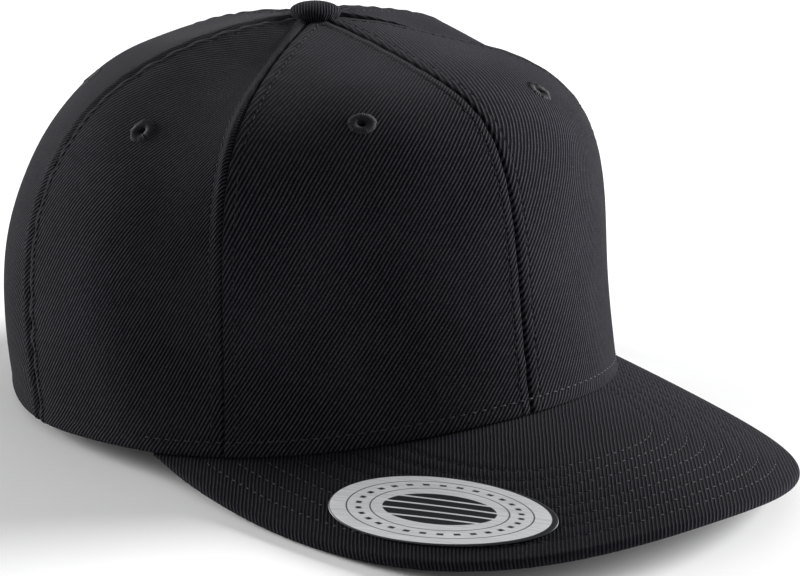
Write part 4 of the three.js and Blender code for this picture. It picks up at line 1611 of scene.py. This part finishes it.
@dataclass(frozen=True)
class Visor(CapPart):
    """The visor: a padded sheet with a rolled edge and eight sewn rows along its outline.

    Attributes:
        thickness: of the sheet.
        inset: how far it reaches in under the crown.
        columns: steps from side to side.
        rows: steps from back to front.
        row_count: sewn rows.
        first_row: distance of the outermost row from the edge.
        row_pitch: distance from one row to the next.
        row_depth: depth that a row pulls the cloth in.
        row_width: half a row's width.
        quilting: height of the cloth between two rows.
        quilt_width: half the width of that swell.
        corner: share of the thickness that is left at the corners.
        taper: distance from a corner over which the sheet thins.
        edge_turns: degrees above level of the corners that round the edge.
        crown_gap: distance from the crown at which the rows end.
        rounding: points on each side of a row's running mean.
        stitch: the rows' stitches.
    """

    thickness: float = 3.2
    inset: float = 3.6
    columns: int = 260
    rows: int = 140
    row_count: int = 8
    first_row: float = 7.2
    row_pitch: float = 5.05
    row_depth: float = 0.15
    row_width: float = 0.55
    quilting: float = 0.06
    quilt_width: float = 1.4
    corner: float = 0.3
    taper: float = 16.0
    edge_turns: tuple[float, ...] = (75.0, 60.0, 45.0, 30.0, 15.0, 4.0)
    crown_gap: float = 1.0
    rounding: int = 10
    stitch: Stitch = Stitch(pitch=3.1, length=2.2, thickness=0.36)

    def sheet(self, plan: Array, depth: Array) -> Array:
        """Points a given depth under the visor's top, along its normal."""
        x, y = plan[..., 0], plan[..., 1]
        top = np.stack([x, y, self.shape.visor_top(x, y)], axis=-1)
        return top - self.shape.visor_normal(x, y) * depth[..., None]

    def relief(self, plan: Array, outline: Array) -> Array:
        """Depth that the sewn rows pull the cloth in: a bell at each row, and padding between them."""
        distance, along = distance_to_line(level(plan), level(outline))
        depth = np.zeros(distance.shape)
        beat = 1.0 - 0.3 * np.cos(2.0 * np.pi * along / self.stitch.pitch)
        for row in range(self.row_count):
            offset = self.first_row + row * self.row_pitch
            depth = depth + self.row_depth * beat * bell(distance, offset, self.row_width)
            depth = depth - self.quilting * bell(distance, offset + self.row_pitch / 2, self.quilt_width)
        return depth

    def surface(self) -> Surface:
        """The visor as front-to-back loops: over the top, round the edge and back underneath.

        The sheet is thickness deep, and thins smoothly towards the corners where it goes under the
        crown.
        """
        outline = self.shape.visor_outline(self.columns // 2)
        angle = np.linspace(-self.shape.visor_corner, self.shape.visor_corner, len(outline))
        inner_radius = self.shape.rim_radius(angle) - self.inset
        inner = np.stack([inner_radius * np.sin(angle), -inner_radius * np.cos(angle)], axis=-1)
        forward = unit(outline - inner)
        along = arc_lengths(outline)
        from_corner = np.minimum(along, along[-1] - along)[:, None]
        full = smoothstep(from_corner, 0.0, self.taper)
        sheet = self.thickness * (self.corner + (1.0 - self.corner) * full)
        half = sheet / 2
        last = outline - forward * half
        share = np.linspace(0.0, 1.0, self.rows + 1)[None, :, None]
        plan = inner[:, None] + (last - inner)[:, None] * share
        depth = self.relief(plan, outline)
        turn = np.radians(np.array(self.edge_turns))
        edge = last[:, None] + forward[:, None] * (half * np.cos(turn))[..., None]
        edge_depth = half - half * np.sin(turn)
        whole = np.concatenate([plan, edge], axis=1)
        upper = self.sheet(whole, np.concatenate([depth, edge_depth], axis=1))
        lower = self.sheet(whole, np.concatenate([sheet - depth, sheet - edge_depth], axis=1))
        rings = np.concatenate([upper, lower[:, ::-1]], axis=1)
        pattern = np.concatenate([whole, whole[:, ::-1]], axis=1)
        sections, loop = rings.shape[:2]
        quads = loop_quads(sections, loop, closed=False)
        here = np.arange(loop // 2 - 1)
        first_end = np.stack([here + 1, here, loop - 1 - here, loop - 2 - here], axis=-1)
        last_end = (sections - 1) * loop + first_end[:, ::-1]
        faces = np.concatenate([quads, first_end, last_end])
        return Surface(rings.reshape(-1, 3), faces, flat=pattern.reshape(-1, 2))

    def row_line(self, offset: float) -> Array:
        """A line in plan at a given distance inside the outline, up to the crown.

        Points of the shifted outline that come nearer to it than the distance are left out, and so
        are those under the crown. What is left is rounded by a running mean.

        Args:
            offset: the distance from the outline.

        Returns:
            Points (x, y) from the right side to the left.
        """
        outline = self.shape.visor_outline(400)
        along = unit(np.gradient(outline, axis=0))
        shifted = outline + offset * np.stack([-along[:, 1], along[:, 0]], axis=-1)
        distance, _ = distance_to_line(level(shifted), level(outline))
        line = level(shifted[distance > offset - 0.05])
        even = at_length(line, np.linspace(0.0, arc_lengths(line)[-1], 500))[:, :2]
        width = 2 * self.rounding + 1
        window = np.ones(width) / width
        ends = np.pad(even, ((self.rounding, self.rounding), (0, 0)), mode="edge")
        smooth = np.stack([np.convolve(ends[:, i], window, mode="valid") for i in (0, 1)], axis=-1)
        angle = np.arctan2(smooth[:, 0], -smooth[:, 1])
        reach = np.hypot(smooth[:, 0], smooth[:, 1])
        return smooth[reach > self.shape.rim_radius(angle) + self.crown_gap]

    def stitches(self) -> Surface:
        """The sewn rows' threads on the top and on the underside."""
        rows = []
        for row in range(self.row_count):
            plan = self.row_line(self.first_row + row * self.row_pitch)
            normals = self.shape.visor_normal(plan[:, 0], plan[:, 1])
            for depth, way in ((self.row_depth, 1.0), (self.thickness - self.row_depth, -1.0)):
                line = self.sheet(plan, np.full(len(plan), depth))
                rows.append(self.stitch.along(line, way * normals, seed=130 + len(rows)))
        return joined(rows)

    def build(self, shop: Workshop, cloth: Material, thread: Material) -> None:
        """Adds the visor and its stitches."""
        shop.piece("twill_visor", self.surface(), cloth, ("visor",))
        shop.piece("visor_stitches", self.stitches(), thread)


@dataclass(frozen=True)
class FoilSticker(CapPart):
    """The oval foil sticker on the visor's right half.

    Attributes:
        length: of the oval.
        width: of the oval.
        thickness: of the foil with its backing.
        lift: height of its underside over the visor.
        turn: turn of its length from straight across, anticlockwise from above.
        side_share: its middle's distance to the right, as a share of half the crown's width.
        forward_share: its middle's distance from the crown's front, as a share of the visor's length.
        sides: corners of a ring.
    """

    length: float = 66.0
    width: float = 28.4
    thickness: float = 0.4
    lift: float = 0.3
    turn: float = math.radians(-62.5)
    side_share: float = 0.568
    forward_share: float = 0.304
    sides: int = 160

    def surface(self) -> Surface:
        """An oval disc of rings that follows the visor, a little thinner at its very edge."""
        profile = np.array([
            (0.0, 0.0), (0.5, 0.0), (0.985, 0.0), (1.0, 0.3), (1.0, 0.7), (0.99, 0.93), (0.975, 1.0),
            *[(share, 1.0) for share in np.linspace(0.95, 0.0, 20)],
        ])
        circle = around(profile[:, :1], full_turn(self.sides), 0.0)[..., :2]
        local = circle * [self.length, self.width] / 2
        c, s = math.cos(self.turn), math.sin(self.turn)
        plan = local @ np.array([[c, s], [-s, c]])
        front = self.shape.rim_radius(np.zeros(1))[0]
        plan = plan + [
            -self.side_share * self.shape.width / 2,
            -(front + self.forward_share * self.shape.visor_length),
        ]
        x, y = plan[..., 0], plan[..., 1]
        height = self.lift + self.thickness * profile[:, 1:]
        seat = np.stack([x, y, self.shape.visor_top(x, y)], axis=-1)
        rings = seat + self.shape.visor_normal(x, y) * np.broadcast_to(height, x.shape)[..., None]
        return turned_round(rings, local)

    def build(self, shop: Workshop) -> None:
        """Adds the sticker."""
        foil = FoilFinish("brushed_foil", self.length / 2 * MM, self.width / 2 * MM).material()
        shop.piece("foil_oval", self.surface(), foil, ("visor_sticker",))


@dataclass(frozen=True)
class InnerBand(CapPart):
    """The sweatband: a band inside the rim with a rounded upper edge and two sewn lines.

    Attributes:
        height: of the band.
        thickness: of the band.
        strap_half: half the strap's length.
        columns: steps round the band.
        rows: steps up the band.
        stitch: the sewn lines' stitches.
        row_heights: heights of the sewn lines.
        row_depth: depth of a sewn line.
        row_width: half a sewn line's width.
        soft: height of the soft unevenness.
        soft_wave: length of its waves.
        play: extra gap between the panels and the band.
        row_end: angle by which the sewn lines stop short of the band's ends.
    """

    height: float = 32.0
    thickness: float = 1.5
    strap_half: float = 50.0
    columns: int = 420
    rows: int = 30
    stitch: Stitch = Stitch(pitch=3.2, length=2.4, thickness=0.4)
    row_heights: Span = (3.5, 28.8)
    row_depth: float = 0.25
    row_width: float = 0.6
    soft: float = 0.12
    soft_wave: float = 17.0
    play: float = 0.15
    row_end: float = 0.01

    def place(self, angle: Array, height: Array | float, depth: Array | float) -> Array:
        """Points at a height over the rim and a depth under the crown's outer face."""
        rim = self.shape.point(angle, np.zeros_like(angle))[..., 2]
        up = self.shape.up_where(angle, "height", rim + np.maximum(height, 1e-6))
        return self.shape.layer(angle, up, depth)

    def ends(self) -> float:
        """Angle at which the band ends beside the strap."""
        reach = self.strap_half + 2.0 * self.shape.clearance
        return math.pi - math.asin(reach / (self.shape.length / 2))

    def surface(self) -> Surface:
        """Outer and inner face, thinner towards both long edges, with sewn lines inside."""
        angle = np.linspace(-self.ends(), self.ends(), self.columns + 1)
        height = crowded(self.rows, 0.07, 0.25) * self.height
        angles, heights = np.meshgrid(angle, height, indexing="ij")
        from_edge = np.minimum(heights, self.height - heights)
        rounding = 0.9 * edge_round(from_edge, self.thickness / 2)
        line = self.place(angle, self.height / 2, 0.0)
        along = np.broadcast_to(arc_lengths(line)[:, None], angles.shape)
        sewn = sum(bell(heights, row, self.row_width) for row in self.row_heights)
        ripple = Ripple(self.soft_wave, seed=41).at(np.stack([along, heights * 1.6], axis=-1))
        start = self.shape.cloth + self.shape.clearance + self.play
        outer = self.place(angles, heights, start + rounding)
        inner_depth = start + self.thickness - rounding - self.row_depth * sewn + self.soft * ripple
        inner = self.place(angles, heights, inner_depth)
        return thick_sheet(outer, inner, np.stack([along, heights], axis=-1))

    def stitches(self) -> Surface:
        """Threads of the two sewn lines on the band's inside."""
        rows = []
        for number, height in enumerate(self.row_heights):
            angle = np.linspace(self.ends() - self.row_end, self.row_end - self.ends(), 700)
            depth = self.shape.cloth + self.shape.clearance + self.thickness - 0.1
            line = self.place(angle, height, depth)
            up = self.shape.up_where(angle, "height", line[:, 2])
            rows.append(self.stitch.along(line, -self.shape.normal(angle, up), seed=170 + number))
        return joined(rows)

    def build(self, shop: Workshop, cloth: Material, thread: Material) -> None:
        """Adds the band and its stitches."""
        shop.piece("woven_sweatband", self.surface(), cloth, ("sweatband",))
        shop.piece("sweatband_stitches", self.stitches(), thread)


@dataclass(frozen=True)
class SnapStrap(CapPart):
    """The strap across the arch: two moulded halves that overlap, with studs through the outer half.

    Attributes:
        band: gives points by height over the rim.
        half: half the strap's length.
        low: height of its lower edge over the rim.
        height: of the strap.
        thickness: of both halves together.
        overlap: side distance of the outer half's rounded end.
        stud_pitch: distance between studs.
        studs_a_side: studs on each side of the middle one.
        step: depth by which one half lies under the other.
        border: height, distance from the edge and half width of the raised border.
        seat: depth, radius and half width of the sunk ring round a stud.
    """

    band: InnerBand
    half: float = 50.0
    low: float = 1.0
    height: float = 17.0
    thickness: float = 1.8
    overlap: float = 23.0
    stud_pitch: float = 9.4
    studs_a_side: int = 3
    step: float = 0.8
    border: tuple[float, float, float] = (0.14, 1.3, 0.6)
    seat: tuple[float, float, float] = (0.3, 3.25, 0.35)

    @property
    def seats(self) -> Array:
        """Side distances of the studs."""
        return np.arange(-self.studs_a_side, self.studs_a_side + 1) * self.stud_pitch

    def angle_at(self, side: Array) -> Array:
        """Angle at which the rim reaches a distance from the back's middle."""
        return np.pi - np.arcsin(side / (self.shape.length / 2))

    def inside_half(self, side: Array, height: Array, way: float) -> Array:
        """1 inside the half that comes from one side, 0 past its rounded end."""
        radius = self.height / 2
        middle = self.overlap - radius
        past = np.maximum(way * side - middle, 0.0)
        return 1.0 - smoothstep(np.hypot(past, height - self.low - radius), radius - 0.5, radius)

    def surface(self) -> Surface:
        """Both faces: each half is one layer, with a raised border and rings at the studs."""
        side = np.linspace(self.half, -self.half, 401)
        height = self.low + crowded(44, 0.08, 0.2) * self.height
        sides, heights = np.meshgrid(side, height, indexing="ij")
        from_edge = np.minimum(heights - self.low, self.low + self.height - heights)
        border = self.border[0] * bell(from_edge, *self.border[1:])
        rounding = 0.85 * edge_round(from_edge, self.thickness / 2)
        centre = self.low + self.height / 2
        sunk, *size = self.seat
        ring = sunk * sum(bell(np.hypot(sides - seat, heights - centre), *size) for seat in self.seats)
        on_edge = 1.0 - smoothstep(from_edge, 0.0, -0.1)
        front = self.step * (1.0 - self.inside_half(sides, heights, 1.0)) * on_edge
        behind = self.step * (1.0 - self.inside_half(sides, heights, -1.0))
        start = self.shape.cloth + self.shape.clearance
        angles = self.angle_at(sides)
        outer = self.band.place(angles, heights, start + np.maximum(rounding, front) - border + ring)
        inner_depth = start + self.thickness - np.maximum(rounding, behind)
        thinnest = start + front + ring + 0.3
        inner = self.band.place(angles, heights, np.maximum(inner_depth, thinnest))
        return thick_sheet(outer, inner, np.stack([-sides, heights], axis=-1))

    def stud(self) -> Surface:
        """One stud about the Z axis: a short stem under a rounded cap."""
        profile = np.array([
            (0.0, -0.8), (2.8, -0.8), (2.8, 0.1), (2.75, 0.35), (2.55, 0.62), (2.2, 0.9),
            (1.7, 1.12), (1.1, 1.25), (0.5, 1.3), (0.0, 1.3),
        ])
        rings = around(profile[:, :1], full_turn(40), profile[:, 1:])
        return turned_round(rings, rings[..., :2])

    def studs(self) -> Surface:
        """All the studs, each seated on the strap's face."""
        made = []
        for side in self.seats:
            angle = self.angle_at(np.array([side]))
            centre = self.low + self.height / 2
            seat = self.band.place(angle, centre, self.shape.cloth + self.shape.clearance)[0]
            up = self.shape.up_where(angle, "height", centre)
            stud = self.stud()
            stud.points = stud.points @ axes_along(self.shape.normal(angle, up)[0]) + seat
            made.append(stud)
        return joined(made)

    def build(self, shop: Workshop, material: Material) -> None:
        """Adds the strap with its studs."""
        strap = joined([self.surface(), self.studs()])
        shop.piece("moulded_strap", strap, material, ("snap_strap",))


def sky_direction(azimuth: float, elevation: float) -> Array:
    """The way to a place in the sky, from degrees round from the front and degrees up."""
    a, e = math.radians(azimuth), math.radians(elevation)
    return np.array([math.sin(a) * math.cos(e), -math.cos(a) * math.cos(e), math.sin(e)])


@dataclass(frozen=True)
class SoftLight:
    """A wide lamp far away.

    Attributes:
        name: the lamp's name.
        azimuth: degrees from the front towards the wearer's left.
        elevation: degrees above the floor.
        width: degrees that it takes up in the sky.
        strength: light that it sheds on a face that looks at it, in W/m2.
    """

    name: str
    azimuth: float
    elevation: float
    width: float
    strength: float

    def add(self) -> None:
        """Puts the lamp into the scene."""
        data = bpy.data.lights.new(self.name, "SUN")
        data.angle = math.radians(self.width)
        data.energy = self.strength
        lamp = bpy.data.objects.new(self.name, data)
        back = Vector(sky_direction(self.azimuth, self.elevation))
        lamp.location = back
        lamp.rotation_euler = back.to_track_quat("Z", "Y").to_euler()
        bpy.context.scene.collection.objects.link(lamp)


@dataclass(frozen=True)
class PhotoCamera:
    """The photograph's camera, placed in the sewing frame.

    Attributes:
        pose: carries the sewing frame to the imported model.
        azimuth: degrees from the front towards the wearer's left.
        elevation: degrees above the level of the rim.
        roll: degrees of turn about the line of sight.
        distance: millimetres from the aim.
        focal: focal length in pixels of the photograph.
        aim_right: millimetres of the aim to the camera's right of the button's axis.
        aim_up: millimetres of the aim above the back rim, along the camera's up.
        sensor: width of the camera's sensor, in millimetres.
    """

    pose: RestPose
    azimuth: float = -38.9
    elevation: float = 16.2
    roll: float = -0.56
    distance: float = 856.4
    focal: float = 2728.6
    aim_right: float = 24.83
    aim_up: float = 27.09
    sensor: float = 36.0

    def add(self) -> None:
        """Puts the camera into the scene and makes it the scene's camera."""
        a, r = math.radians(self.azimuth), math.radians(self.roll)
        back = sky_direction(self.azimuth, self.elevation)
        right = np.array([math.cos(a), math.sin(a), 0.0])
        up = np.cross(back, right)
        eye = right * self.aim_right + up * self.aim_up + back * self.distance
        rolled_right = right * math.cos(r) + up * math.sin(r)
        rolled_up = up * math.cos(r) - right * math.sin(r)
        data = bpy.data.cameras.new("photo_camera")
        data.sensor_width = self.sensor
        data.lens = self.focal / PHOTO_WIDTH * self.sensor
        camera = bpy.data.objects.new("photo_camera", data)
        axes = [self.pose.turned(axis) for axis in (rolled_right, rolled_up, back)]
        turn = Matrix([list(axis) for axis in axes]).transposed().to_4x4()
        camera.matrix_world = Matrix.Translation(Vector(self.pose.world(eye))) @ turn
        bpy.context.scene.collection.objects.link(camera)
        bpy.context.scene.camera = camera


@dataclass(frozen=True)
class Studio:
    """Pale floor, white surroundings and soft lamps.

    Attributes:
        floor_half: half the floor's length, in millimetres.
        surroundings: strength of the white light from all sides.
        lamps: the soft lamps.
    """

    floor_half: float = 6000.0
    surroundings: float = 0.40
    lamps: tuple[SoftLight, ...] = (
        SoftLight("right_key", azimuth=76.0, elevation=16.0, width=30.0, strength=8.7),
        SoftLight("left_rim", azimuth=-160.0, elevation=9.0, width=24.0, strength=5.4),
    )

    def add(self, shop: Workshop) -> None:
        """Adds the floor, the surroundings and the lamps."""
        edge = self.floor_half
        corners = level(np.array([[-edge, -edge], [edge, -edge], [edge, edge], [-edge, edge]]))
        floor = Surface(corners, np.array([[0, 1, 2, 3]]))
        shop.mesh_object("floor", corners * MM, floor, FloorFinish().material())
        world = bpy.data.worlds.new("white_room")
        world.use_nodes = True
        background = world.node_tree.nodes["Background"]
        background.inputs["Color"].default_value = (1.0, 1.0, 1.0, 1.0)
        background.inputs["Strength"].default_value = self.surroundings
        bpy.context.scene.world = world
        bpy.context.scene.view_settings.view_transform = "Standard"
        for lamp in self.lamps:
            lamp.add()


def main() -> None:
    """Builds the cap's pieces in order, then the studio and the camera."""
    logging.basicConfig(level=logging.INFO, format="%(name)s %(message)s")
    shape = CapShape()
    pose = RestPose(shape)
    shop = Workshop(pose)
    finishes = Wardrobe()
    panels = CrownPanels(shape)
    band = InnerBand(shape)
    panels.build(shop, finishes.panel)
    CrownStitching(shape, panels).build(shop, finishes.seam_thread, finishes.row_thread)
    Eyelets(shape, panels).build(shop, finishes.eyelet_thread)
    CoveredButton(shape).build(shop, finishes.panel)
    Visor(shape).build(shop, finishes.visor, finishes.row_thread)
    FoilSticker(shape).build(shop)
    band.build(shop, finishes.band, finishes.seam_thread)
    SnapStrap(shape, band).build(shop, finishes.plastic)
    Studio().add(shop)
    PhotoCamera(pose).add()


if __name__ == "__main__":
    main()
